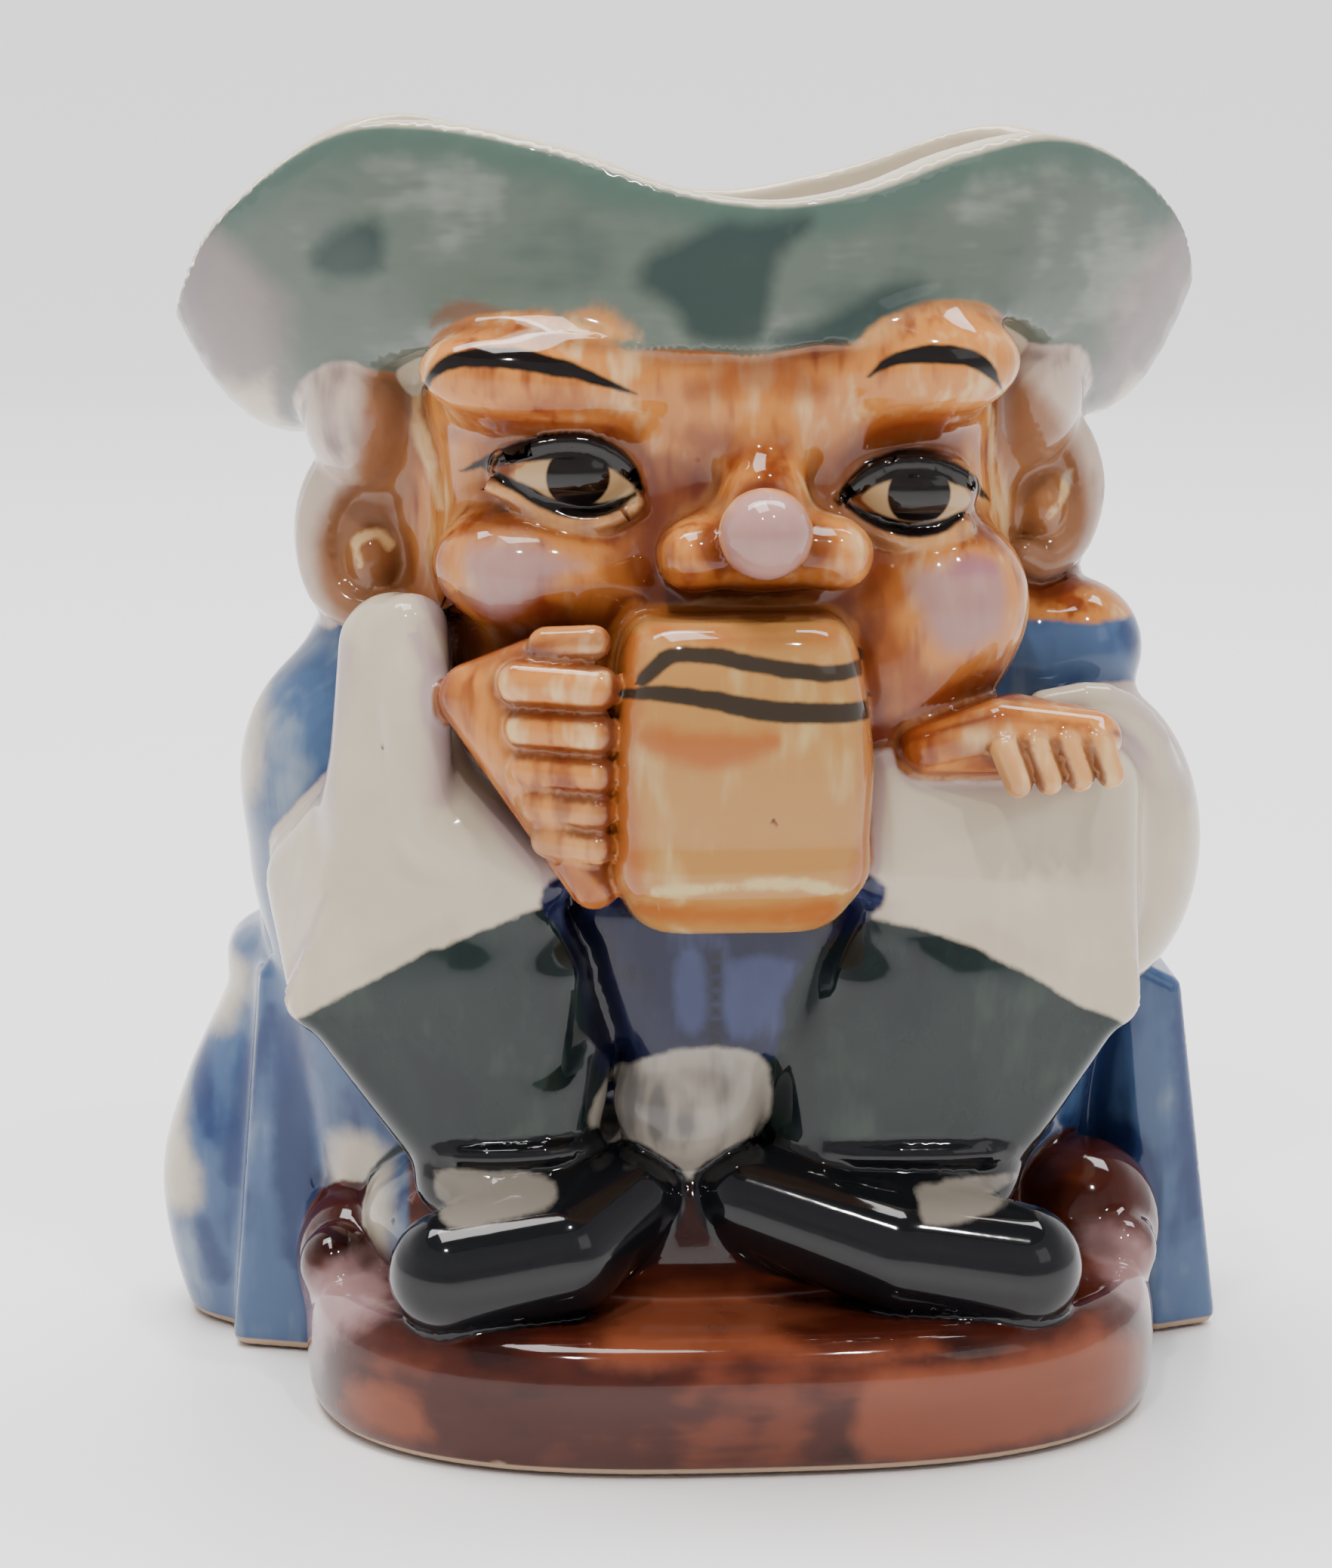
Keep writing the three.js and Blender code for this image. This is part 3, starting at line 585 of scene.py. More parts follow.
# Brown over the ears: their flesh paint, darkened as painted shade within the hair.
EARS = [
    [(-27.2, 81.4), (-25.2, 79.4), (-24.8, 73.2), (-25.3, 66.6), (-25.8, 62.8), (-29.3, 61.2),
     (-31, 62.9), (-31.6, 66.2), (-31, 69.1), (-28.8, 71.6), (-28.1, 75.3), (-27.8, 79)],
    [(21.4, 79.2), (24.1, 77.1), (26.2, 75), (27.7, 71.6), (27.7, 68.7), (26.7, 66.2),
     (25.4, 64.7), (22.4, 64.5), (21.9, 69.6), (21.4, 73.8)],
]
SOCKS = [
    [(-23.4, 20.2), (-22.6, 21.1), (-14.9, 20.9), (-15.3, 19.2), (-22.4, 18.3)],
    [(12.6, 19), (13.4, 19.8), (20.2, 19.8), (21, 19.1), (14, 17.7)],
]
WAISTCOAT = [
    (-15, 42.4), (-12.6, 38), (-11.6, 34.1), (-11, 29), (-8.6, 27.2), (-7.2, 29.6),
    (-2.9, 30.6), (-2.4, 28.4), (-1.3, 30), (1.9, 29.4), (2.9, 33.9), (4.9, 37.7), (8.6, 40.4),
    (8, 44), (-12, 44),
]
WAIST_PALES = [
    [(-4.9, 37.6), (-3.2, 37.3), (-2.9, 32), (-4.3, 31.4), (-5.4, 33.6)],
    [(-1.3, 37), (4.1, 36.6), (2.7, 34), (1.1, 31), (-1.3, 31.4)],
]
BUMP = [
    (-11, 25.3), (-8.6, 28), (-5.1, 29.6), (-0.2, 29.6), (1.6, 27.8), (1.3, 22.8), (-2.9, 18.5),
    (-7, 19.8), (-10.4, 22),
]
BARE_COAT = [
    [(-39, 61), (-36.4, 61), (-37, 48), (-40.6, 46)],
    [(-48, 27), (-44, 31), (-38.6, 31), (-40, 26), (-43.6, 24), (-44.2, 17), (-42.8, 11),
     (-47.6, 10), (-49, 20)],
]
BARE_TAILS = [[(-31.4, 19), (-27.3, 19), (-27.4, 11), (-31.2, 12)]]
SHOE_SHADES = [[(-14, 17.5), (-9, 20.5), (1.5, 20.5), (7, 17.5), (5.6, 13), (-7.4, 13)]]
# Lighter streaky orange along the plinth's top edge between the shoes, over its right side and low
# at its left: painted light.
PLINTH_LIGHTS = [
    [(-13.4, 9.3), (-8.6, 12), (-0.6, 12), (5.3, 9.9), (12.9, 10), (14, 8.8), (4.8, 8.4),
     (-2.2, 9.4), (-8.6, 8)],
    [(8, 8), (16, 8.6), (26, 9), (31.6, 6.6), (31, 2), (22, 1), (8, 0.6)],
    [(-31, 5), (-26, 6), (-23, 2.6), (-26.5, 1), (-30, 2.4)],
]
# Pinkish white at the plinth's top corners: pooled glaze with a painted sheen.
GLAZE_POOLS_AND_SHEEN = [
    [(-33.8, 4), (-33.8, 9.6), (-30.6, 12), (-26, 11.4), (-29, 9.4), (-31.4, 7.4), (-32.6, 4)],
    [(33.8, 3.6), (33.9, 9.8), (31.4, 13), (27.6, 12.4), (29.4, 10), (32, 7.6), (33, 3.6)],
]
SLEEVE_EDGE = [
    (-46, 26), (-34.1, 31.4), (-29.2, 34.5), (-24.1, 37.6), (-19.6, 39.6), (-16.2, 41),
    (-14, 41.8), (-8, 43), (4, 43), (9.3, 40), (12.7, 39.4), (17.4, 37.6), (22, 34.9),
    (26.1, 32.2), (30.2, 30.4), (46, 24),
]
CHIP = (-19.6, -34.6, 0.4)


# The figure's forms, each with the paint it carries and how softly it flows into the forms
# before it.
FEET = 10.4


def plinth():
    rows = [
        (0, 0, -10, 33.5, 26.0, 2.7), (FEET - 1.6, 0, -10, 33.2, 25.8, 2.7),
        (FEET, 0, -10, 32.6, 25.2, 2.7),
    ]
    return [
        ("plinth", 0.8, levels(rows, soft=2.2)),
        ("plinth", 1.6, ball((29, -8, 11), (6.5, 7, 7))),
        ("plinth", 1.6, ball((-29.5, -8, 9.5), (5, 6, 5.5))),
        *[("plinth", 1.0, ball((side * 31.3, -14, 10.6), (2.8, 3.4, 3))) for side in (1, -1)],
    ]


def body():
    return [
        ("coat", 1.5, levels(TORSO)),
        ("coat", 3.0, ball((-31, -4, 49), (7.2, 9, 9))),
        ("coat", 2.0, ball((24, -5, 57.4), (8.4, 10, 7.4))),
        ("coat", 1.2, ball((27.6, -9, 58.4), (5.2, 6, 5.4))),
        ("seat", 2.0, ball((-3, -12, 14), (26, 14, 10))),
    ]


def skirts():
    rows = [
        (0, -2.4, 10, 41.6, 13, 2.5, 0.02), (4, -2.4, 10, 42.8, 14, 2.5, 0.024),
        (13, -2.4, 10.4, 43.8, 14.6, 2.5, 0.022), (20, -2.2, 10, 42, 14.6, 2.4, 0.018),
        (28, -1.8, 9, 38.8, 15, 2.4, 0.01), (34, -1.8, 8, 36.4, 16, 2.4),
        (36, -1.6, 4, 32, 13, 2.3),
    ]
    left = [
        (-33.4, -4, 31, 1.2), (-36.2, -2, 31, 1.2), (-38.8, -1.4, 1.2, 1.2),
        (-33.6, -3, 1.2, 1.2), (-36, 10, 31, 1.5), (-38.4, 12, 1.5, 1.5), (-28, 8, 16, 3),
    ]
    right = [
        (33.4, -4, 31, 1.2), (36.6, -4, 29.4, 1.2), (40.6, -1.4, 1.2, 1.2),
        (36.4, -3, 1.2, 1.2), (36.4, 10, 30, 1.5), (38.4, 12, 1.5, 1.5), (28, 8, 16, 3),
    ]
    return [
        ("coat", 2.5, levels(rows)),
        ("coat", 1.2, wrap(left)),
        ("coat", 1.2, wrap(right)),
    ]


def head():
    return [
        ("skin", 1.2, levels(FACE)),
        ("hair", 2.0, ball((-28.3, -9, 77.4), (4.6, 7.4, 6.2))),
        ("hair", 2.0, ball((23.3, -9, 79), (4.4, 7.4, 6.4))),
        ("hair", 1.5, ball((-28.2, -4, 67.2), (5.7, 6.6, 8.2))),
        ("hair", 1.5, ball((24.6, -4, 70.2), (5.4, 6.6, 8.4))),
        ("hair", 0.8, roll(
            (-26.6, -11, 74, 1.3), (-30.2, -9.6, 72.4, 1.7), (-31.8, -9, 68, 1.8),
            (-31, -9.4, 63.6, 1.8), (-28, -11, 61.6, 1.6), (-25.6, -12, 62.6, 1.2), steps=4)),
        ("hair", 0.8, roll(
            (23.2, -11, 77, 1.3), (26.4, -9.6, 75.6, 1.6), (28, -9, 71.4, 1.7),
            (27, -9.4, 67.2, 1.7), (24.6, -11, 65.4, 1.5), (22.8, -12, 66, 1.2), steps=4)),
        ("skin", 1.3, ball((-27.6, -10.6, 65.8), (1.8, 1.6, 2.2))),
        ("skin", 1.3, ball((24.4, -10.6, 69.6), (1.7, 1.6, 2.3))),
        ("hat", 1.2, cocked_hat()),
    ]


def features():
    """Brows, eyes, cheeks and nose, all in low relief."""
    forms = [
        ("skin", 2.4, ball((-14.6, -23.6, 80.3), (9.4, 5.2, 4.0), (0, 5, 0))),
        ("skin", 2.4, ball((12.6, -23.4, 81.2), (7.8, 5.4, 4.4), (0, -4, 0))),
        ("skin", 2.0, ball((1, -23.4, 78.6), (6.4, 4.4, 5.4))),
        ("skin", 1.0, ball((-13.2, -23.2, 73.7), (5.6, 4.3, 2.9))),
        ("skin", 1.0, ball((12.3, -23.2, 72.3), (5.2, 4.3, 2.8))),
        ("skin", 2.4, ball((-15, -22.2, 66), (8.2, 6.8, 5.0), (0, 8, 0))),
        ("skin", 2.6, ball((15.2, -21.6, 63.4), (6.4, 7.0, 7.0))),
        ("skin", 2.0, ball((11.5, -20, 59), (8.2, 7.6, 7.2))),
        ("skin", 2.0, roll((1.6, -23.6, 77, 2.4), (1.0, -27.4, 72, 3.2))),
        ("skin", 2.2, ball((0.9, -27, 68.2), (6.8, 5.2, 3.3))),
        ("skin", 1.4, ball((-4.2, -29.2, 67.8), (2.8, 3.3, 2.6))),
        ("skin", 1.4, ball((6.1, -29.2, 67.9), (2.8, 3.3, 2.7))),
        ("skin", 0.5, ball((0.6, -33.5, 69.8), (3.4, 4.0, 3.3))),
    ]
    for lid, depth in ((LID_LEFT, -26.9), (LID_RIGHT, -26.7)):
        knots = [(x, depth + abs(i - 3.5) * 0.25, z + 0.25, 0.45)
                 for i, (x, z, _) in enumerate(lid)]
        forms.append(("skin", 0.8, roll(*knots, steps=2)))
    for bag, depth in ((UNDER_LEFT, -26.2), (UNDER_RIGHT, -26.0)):
        knots = [(x, depth + abs(i - 3) * 0.3, z - 0.9, 0.6) for i, (x, z, _) in enumerate(bag)]
        forms.append(("skin", 0.9, roll(*knots, steps=2)))
    return forms


def ale_mug():
    rows = [
        (40.6, -1.2, -28.2, 7.0, 5.8), (42.6, -1.1, -28.3, 8.3, 7.2), (44.2, -1.0, -28.5, 9.2, 8.5),
        (48, -0.9, -28.6, 9.4, 8.6), (53.5, -0.8, -28.6, 9.5, 8.7), (58, -0.9, -28.5, 9.1, 8.5),
        (61.4, -1, -28.3, 8.5, 8.0), (63.5, -1, -28, 7.7, 7.1),
    ]
    return [("mug", 0.5, levels([(*row, 4.0) for row in rows], soft=1.6))]


def hands():
    left_palm = [
        (-20.2, -27.2, 57.4, 2.6), (-15.6, -29.4, 60, 2.1), (-14.4, -30.4, 50, 2.3),
        (-11.6, -31, 44.2, 2.0), (-13, -28.5, 52, 3.2),
    ]
    right_palm = [
        (13.4, -26.4, 53.2, 2.0), (18.4, -28, 54.8, 2.2), (25.6, -27.4, 53.8, 2.2),
        (20, -25.4, 54, 3.0),
    ]
    forms = [
        ("skin", 1.4, wrap(left_palm)),
        ("skin", 0.7, roll((-15, -31, 61.6, 1.4), (-11.7, -32.8, 62, 1.3))),
        ("skin", 1.2, wrap(right_palm)),
    ]
    fingers = [
        (-17, 59, 1.65), (-16.6, 55.7, 1.5), (-16.4, 52.7, 1.4), (-15.7, 50, 1.3), (-15, 47.4, 1.25),
    ]
    for start, height, thick in fingers:
        knuckle = (start, -31.4, height, thick)
        forms.append(("skin", 0.6, roll(knuckle, (-11.4, -33.4, height - 0.2, thick))))
    for i in range(4):
        knuckle = (18.6 + 2.4 * i, -30 + 0.35 * i, 53.6 + 0.1 * i, 1.15)
        tip = (19.6 + 2.35 * i, -30.6 + 0.4 * i, 51 + 0.15 * i, 1.05)
        forms.append(("skin", 0.4, roll(knuckle, tip)))
    return forms


def sleeves():
    left = [
        (-25.6, -20.6, 49, 5), (-31.2, -12, 41, 5), (-32.6, -20.6, 33.2, 1.6),
        (-15.6, -26.6, 43.6, 2.6), (-20, -12, 44, 7),
    ]
    right = [
        (12, -22.5, 49, 4.6), (25.5, -20, 48.6, 5.2), (26, -21.5, 42, 4.4),
        (28.8, -22.6, 32.8, 1.6), (9.8, -26.6, 44, 2.6), (16, -14, 42, 8),
    ]
    cuff = [
        (-24.8, -21.5, 61.6, 2.8), (-24.4, -24.4, 55, 2.6), (-24, -25.4, 48, 2.2),
        (-21, -26.2, 45.6, 1.8),
    ]
    rim = [
        (23, -21, 55.4, 1.2), (27.6, -21, 55.6, 1.5), (31.4, -18, 52, 2.0), (33, -15, 46.5, 2.2),
    ]
    return [
        ("sleeve", 1.6, wrap(left)),
        ("sleeve", 1.6, roll((-26, -19, 60, 4.2), (-26, -20.6, 49, 5.2))),
        ("sleeve", 1.0, roll(*cuff, steps=3)),
        ("sleeve", 1.6, wrap(right)),
        ("sleeve", 1.8, ball((28.4, -11.5, 43.5), (8.8, 9.5, 12.6))),
        ("sleeve", 1.0, roll(*rim, steps=3)),
    ]


def legs():
    left = [
        (-31.8, -20.4, 33, 1.8), (-20, -22.6, 36.6, 5.2), (-16.6, -24.6, 40, 3),
        (-13.8, -21, 30, 4), (-20.4, -19.6, 22, 4.8), (-15.6, -19.8, 22, 4.8),
    ]
    right = [
        (28, -22, 32.6, 1.8), (16, -23, 36, 5.4), (11, -24.8, 39.2, 3), (6.4, -21, 30, 4.4),
        (7.8, -20, 21.6, 5.4), (17.2, -19.6, 21.6, 5.4),
    ]
    waistcoat = [
        (-9, -20.6, 40, 4.6), (4.4, -20.6, 40, 4.6), (-5, -20.5, 31, 4.6), (0, -20.5, 31, 4.6),
        (-3, -19, 24, 4),
    ]
    return [
        ("waistcoat", 1.5, wrap(waistcoat)),
        ("seat", 1.5, ball((-4, -21.2, 25), (5.6, 4.4, 5.2))),
        ("breeches", 1.4, wrap(left)),
        ("breeches", 1.4, wrap(right)),
        ("breeches", 1.6, roll((-14.6, -25, 36, 2.4), (-15.6, -24, 30, 2.4))),
        ("breeches", 1.6, roll((9, -25.4, 35.4, 2.4), (9.4, -24, 29, 2.4))),
    ]


def shoes():
    left = [(-22.2, -28.2, 14.0, 4.8), (-14, -27.6, 15.2, 4.8), (-9, -23.2, 17.8, 4.3)]
    right = [(20.6, -28.2, 13.6, 4.8), (12, -27.6, 14.8, 4.8), (0.8, -23.2, 17.8, 4.3)]
    return [
        ("shoe", 1.0, wrap([(-21.6, -21.6, 19.6, 3.4), (-14.4, -22, 19.8, 3.6), (-17, -24, 17, 4)])),
        ("shoe", 1.0, wrap([(18, -21.6, 19, 3.6), (8.6, -22, 19.2, 3.6), (13, -24, 17, 4)])),
        ("shoe", 0.6, roll((-24.6, -20.4, 21.8, 0.8), (-21.4, -24.6, 22, 0.9),
                           (-15, -25.2, 22.2, 0.9), (-11.2, -22.4, 22.2, 0.8), steps=3)),
        ("shoe", 0.6, roll((22, -20.4, 21.4, 0.8), (18.6, -24.8, 21.6, 0.9), (8.6, -25.4, 21.8, 0.9),
                           (3.4, -22.4, 21.8, 0.8), steps=3)),
        ("shoe", 0.8, wrap(left)),
        ("shoe", 0.8, wrap(right)),
    ]


HANDLE_WIDTH = 7.2 * MM
HANDLE_THICKNESS = 5.2 * MM
FINGER_GAP = 10.5 * MM
BODY_BACK = 22.0


def handle():
    """The grip behind the jug, an oval roll from under the hat down to the skirts."""
    reach = BODY_BACK + FINGER_GAP + HANDLE_THICKNESS / 2
    half = HANDLE_THICKNESS / 2
    path = [
        (0, BODY_BACK - 4 * MM, 74, half * 1.1), (0, BODY_BACK + FINGER_GAP * 0.45, 75.5, half),
        (0, reach - MM, 69, half), (0, reach, 55, half), (0, reach - 2.4 * MM, 41, half),
        (0, BODY_BACK + 3 * MM, 30, half), (0, BODY_BACK - 6 * MM, 27, half * 1.2),
    ]
    centre, radius, distance = roll(*path, steps=4)
    flatten = np.array([HANDLE_THICKNESS / HANDLE_WIDTH, 1, 1])
    middle = np.array([-2.0, 0, 0])
    return [("handle", 2.0, (
        centre + middle, radius + 2, lambda points: distance((points - middle) * flatten),
    ))]


FORMS = [
    *body(), *skirts(), *plinth(), *head(), *features(), *legs(), *shoes(), *sleeves(),
    *hands(), *ale_mug(), *handle(),
]
HOLLOW = hollow()
FOOT_RING = 4.0 * MM
FOOT_RECESS = 0.8 * MM
RECESS = levels([
    (z, 0, -10, 33.5 - FOOT_RING, 26 - FOOT_RING, 2.7) for z in (-FOOT_RECESS, 0, FOOT_RECESS)
], soft=0.2)
CHIPPED = ball(CHIP, (1.7, 1.2, 0.8))


def clay(points):
    """Distance to the whole jug's surface, negative inside the pot."""
    gap = np.full(len(points), FAR)
    for paint, soft, (centre, reach, distance) in FORMS:
        near = np.flatnonzero(length(points - centre) < reach + NEAR)
        gap[near] = smooth_min(gap[near], distance(points[near]), soft)
    gap = smooth_max(gap, -HOLLOW[2](points), 1.1)
    low = np.flatnonzero(points[:, 2] < 3)
    gap[low] = smooth_max(gap[low], -RECESS[2](points[low]), 0.3)
    gap[low] = smooth_max(gap[low], -CHIPPED[2](points[low]), 0.2)
    return smooth_max(gap, -points[:, 2], 0.5)


TETRAHEDRON = np.array([(1, -1, -1), (-1, -1, 1), (-1, 1, -1), (1, 1, 1)])


def slope(points, step=0.04):
    """The direction straight out of the surface, and the distance to it."""
    values = [clay(points + corner * step) for corner in TETRAHEDRON]
    gradient = sum(value[:, None] * corner for value, corner in zip(values, TETRAHEDRON))
    size = np.maximum(length(gradient), 1e-9)
    return gradient / size[:, None], sum(values) / 4, size / (4 * step)


def settle(points, times):
    """Moves points on to the surface, and gives its directions there."""
    for _ in range(times):
        normal, gap, steepness = slope(points)
        move = np.clip(gap / np.maximum(steepness, 0.4), -0.6, 0.6)
        points = points - normal * move[:, None]
    return points, normal


# Mesh
PITCH = 1.1


def net():
    """The jug's surface as quads, from the cells of a grid where it crosses their edges."""
    low = LOW_CORNER - 2 * PITCH
    counts = np.ceil((HIGH_CORNER + 2 * PITCH - low) / PITCH).astype(int) + 1
    axes = [low[k] + np.arange(counts[k]) * PITCH for k in range(3)]
    plane = np.stack(np.meshgrid(axes[1], axes[2], indexing="ij"), axis=-1).reshape(-1, 2)
    values = np.empty(counts)
    for i, x in enumerate(axes[0]):
        slab = np.column_stack([np.full(len(plane), x), plane])
        values[i] = clay(slab).reshape(counts[1], counts[2])
    inside = values < 0
    total = np.zeros((int(np.prod(counts)), 3))
    hits = np.zeros(int(np.prod(counts)))
    crossings = []
    for axis in range(3):
        start = [slice(None)] * 3
        end = [slice(None)] * 3
        start[axis], end[axis] = slice(0, -1), slice(1, None)
        crossed = np.argwhere(inside[tuple(start)] != inside[tuple(end)])
        step = np.eye(3, dtype=int)[axis]
        first = values[tuple(crossed.T)]
        second = values[tuple((crossed + step).T)]
        share = first / (first - second)
        place = low + PITCH * (crossed + share[:, None] * step)
        other = [np.eye(3, dtype=int)[(axis + 1) % 3], np.eye(3, dtype=int)[(axis + 2) % 3]]
        cells = []
        for back in ((0, 0), (1, 0), (1, 1), (0, 1)):
            cell = crossed - back[0] * other[0] - back[1] * other[1]
            index = np.ravel_multi_index(tuple(cell.T), counts)
            for k in range(3):
                total[:, k] += np.bincount(index, place[:, k], len(total))
            hits += np.bincount(index, minlength=len(hits))
            cells.append(index)
        quads = np.stack(cells, axis=1)
        flipped = first > 0
        quads[flipped] = quads[flipped][:, ::-1]
        crossings.append(quads)
    quads = np.vstack(crossings)
    used, compact = np.unique(quads, return_inverse=True)
    quads = compact.reshape(quads.shape)
    points = total[used] / hits[used, None]
    return points, np.vstack([quads[:, [0, 1, 2]], quads[:, [0, 2, 3]]])


def edges_of(triangles):
    """Every edge once, and for each triangle the numbers of its three edges."""
    sides = triangles[:, [[0, 1], [1, 2], [2, 0]]].reshape(-1, 2)
    sides = np.sort(sides, axis=1)
    key = sides[:, 0] * (triangles.max() + 1) + sides[:, 1]
    _, first, index = np.unique(key, return_index=True, return_inverse=True)
    return sides[first], index.reshape(-1, 3)


def relaxed(points, triangles, normal, share=0.5):
    """Evens the mesh out along its surface."""
    edges, _ = edges_of(triangles)
    both = np.vstack([edges, edges[:, ::-1]])
    count = np.bincount(both[:, 0], minlength=len(points))
    mean = np.stack([
        np.bincount(both[:, 0], points[both[:, 1], k], len(points)) for k in range(3)
    ], axis=1) / count[:, None]
    move = (mean - points) * share
    return points + move - normal * (move * normal).sum(axis=1)[:, None]


def split(points, triangles, marked, edges, index):
    """Halves the marked edges and shares the new corners out among the triangles."""
    middle = np.full(len(edges), -1)
    middle[marked] = len(points) + np.arange(marked.sum())
    points = np.vstack([points, points[edges[marked]].mean(axis=1)])
    halves = middle[index]
    cut = (halves >= 0).astype(int)
    code = cut @ [1, 2, 4]
    turn = np.array([0, 0, 1, 0, 2, 2, 1, 0])[code]
    order = (turn[:, None] + np.arange(3)) % 3
    corners = np.take_along_axis(triangles, order, axis=1)
    halves = np.take_along_axis(halves, order, axis=1)
    a, b, c = corners.T
    ab, bc, ca = halves.T
    count = cut.sum(axis=1)
    none, one, two, three = (count == k for k in range(4))
    fans = [
        np.stack([a, b, c], 1)[none],
        np.stack([a, ab, c], 1)[one], np.stack([ab, b, c], 1)[one],
        np.stack([a, ab, c], 1)[two], np.stack([ab, bc, c], 1)[two],
        np.stack([ab, b, bc], 1)[two],
        np.stack([a, ab, ca], 1)[three], np.stack([ab, b, bc], 1)[three],
        np.stack([ca, bc, c], 1)[three], np.stack([ab, bc, ca], 1)[three],
    ]
    return points, np.vstack(fans)


# The longest edges allowed, and how far two corners' directions may turn along one
BACK_EDGE = 2.2
FRONT_EDGE = 1.27
FACE_EDGE = 0.7
INSIDE_EDGE = 2.85
SHARPEST_TURN = 0.24
SHORTEST_EDGE = 0.42
FRONT = -10
FACE_LOW, FACE_HIGH, FACE_SIDE = 42, 84, 30


def wanted_length(points):
    """The longest edge allowed at each place: fine on the face and hands, coarse inside."""
    x, y, z = points.T
    size = np.full(len(points), BACK_EDGE)
    front = y < FRONT
    size[front] = FRONT_EDGE
    size[front & (z > FACE_LOW) & (z < FACE_HIGH) & (np.abs(x) < FACE_SIDE)] = FACE_EDGE
    size[HOLLOW[2](points) < 0.5] = INSIDE_EDGE
    return size * 1


def sculpt():
    """The jug's surface as corners, their directions and triangles."""
    points, triangles = net()
    points, normal = settle(points, 3)
    for _ in range(2):
        points = relaxed(points, triangles, normal)
        points, normal = settle(points, 1)
    for _ in range(3):
        edges, index = edges_of(triangles)
        ends = points[edges]
        size = length(ends[:, 0] - ends[:, 1])
        middle = ends.mean(axis=1)
        bend = length(normal[edges[:, 0]] - normal[edges[:, 1]])
        marked = size > wanted_length(middle)
        marked |= (bend > SHARPEST_TURN) & (size > 2 * SHORTEST_EDGE)
        points, triangles = split(points, triangles, marked, edges, index)
        points, normal = settle(points, 1)
        points = relaxed(points, triangles, normal)
        points, normal = settle(points, 2)
    return points, normal, triangles


# Paint. A depth is how far a place lies in from the paint's edge, negative outside it.
DEEPEST = 4.0


def limited(depth):
    return np.clip(depth, -DEEPEST, DEEPEST)


def stroke(points, knots, front):
    """How far each place is across a brush stroke, and the stroke's half width there.

    A stroke is painted on what lies before the depth called front.
    """
    path = curve_through(knots, 4)
    flat = points[:, [0, 2]]
    near = FAR * np.ones(len(points))
    across = FAR * np.ones(len(points))
    width = -np.ones(len(points))
    last = len(path) - 2
    for i, (start, end) in enumerate(zip(path[:-1], path[1:])):
        span = end[:2] - start[:2]
        away = flat - start[:2]
        free = away @ span / (span @ span)
        share = np.clip(free, 0, 1)
        gap = length(away - share[:, None] * span)
        closer = gap < near
        near[closer] = gap[closer]
        side = np.sign(span[0] * away[:, 1] - span[1] * away[:, 0])
        across[closer] = (gap * side)[closer]
        half = start[2] + share * (end[2] - start[2])
        past = np.maximum(-free if i == 0 else 0, free - 1 if i == last else 0)
        half = half - np.maximum(past, 0) * math.hypot(*span)
        width[closer] = half[closer]
    width = width - np.maximum(near - np.maximum(width, 0) - 1.0, 0)
    width[points[:, 1] > front] = -1
    return across, width


def strokes(points, paths, front):
    """Several crisp strokes of one colour: at each place, the one that is nearest."""
    found = [stroke(points, path, front) for path in paths]
    spare = np.array([width - np.abs(across) for across, width in found])
    best = spare.argmax(axis=0)
    pick = np.arange(len(points))
    return [np.array(values)[best, pick] for values in zip(*found)]


def soft_strokes(points, paths, front):
    """How deep each place lies in the nearest of several soft strokes."""
    found = [stroke(points, path, front) for path in paths]
    depth = np.max([width - np.abs(across) for across, width in found], axis=0)
    return limited(depth)


def patches(points, outlines, front):
    """Distance in from the edge of the nearest of several painted patches."""
    return np.max([patch(points, outline, front) for outline in outlines], axis=0)


def patch(points, outline, front):
    """Distance in from the edge of a painted patch, seen from the front."""
    loop = curve_through(outline, 3, closed=True)
    flat = points[:, [0, 2]]
    near = FAR * np.ones(len(points))
    inside = np.zeros(len(points), bool)
    for start, end in zip(loop, np.roll(loop, -1, axis=0)):
        span = end - start
        away = flat - start
        share = np.clip(away @ span / (span @ span), 0, 1)
        near = np.minimum(near, length(away - share[:, None] * span))
        rises = (start[1] > flat[:, 1]) != (end[1] > flat[:, 1])
        slant = start[0] + (flat[:, 1] - start[1]) * span[0] / (span[1] or 1e-9)
        inside ^= rises & (flat[:, 0] < slant)
    depth = np.where(inside, near, -near)
    depth[points[:, 1] > front] = -DEEPEST
    return limited(depth)


# Each kind of stroke or patch, with the depth that it is painted before
CRISP = {
    "brow": (BROWS, -8), "lid": ([LID_LEFT, LID_RIGHT], -8),
    "under": ([UNDER_LEFT, UNDER_RIGHT], -8), "stripe_high": ([MUG_STRIPE_HIGH], -8),
    "stripe_low": ([MUG_STRIPE_LOW], -8),
}
SOFT = {
    "fold": (FOLDS, -16), "glow": (SKIN_SHADES, -16), "pale": (SKIN_HIGHLIGHTS, -12),
    "mug_glow": (MUG_SHADES_AND_WASHES, -28), "mug_line": (MUG_HIGHLIGHTS, -30), "speck": (SPECKS, -20),
    "blush": (BLUSHES, -20), "swirl": (SWIRLS, 0), "hat_stroke": ([HAT_STROKE], -14),
    "coat_fold": (COAT_FOLDS, 30), "waist_fold": (WAIST_FOLDS, -16),
    "lap_fold": (LAP_FOLDS, -12), "sleeve_tint": (SLEEVE_TINTS_AND_SHADE, -8),
}
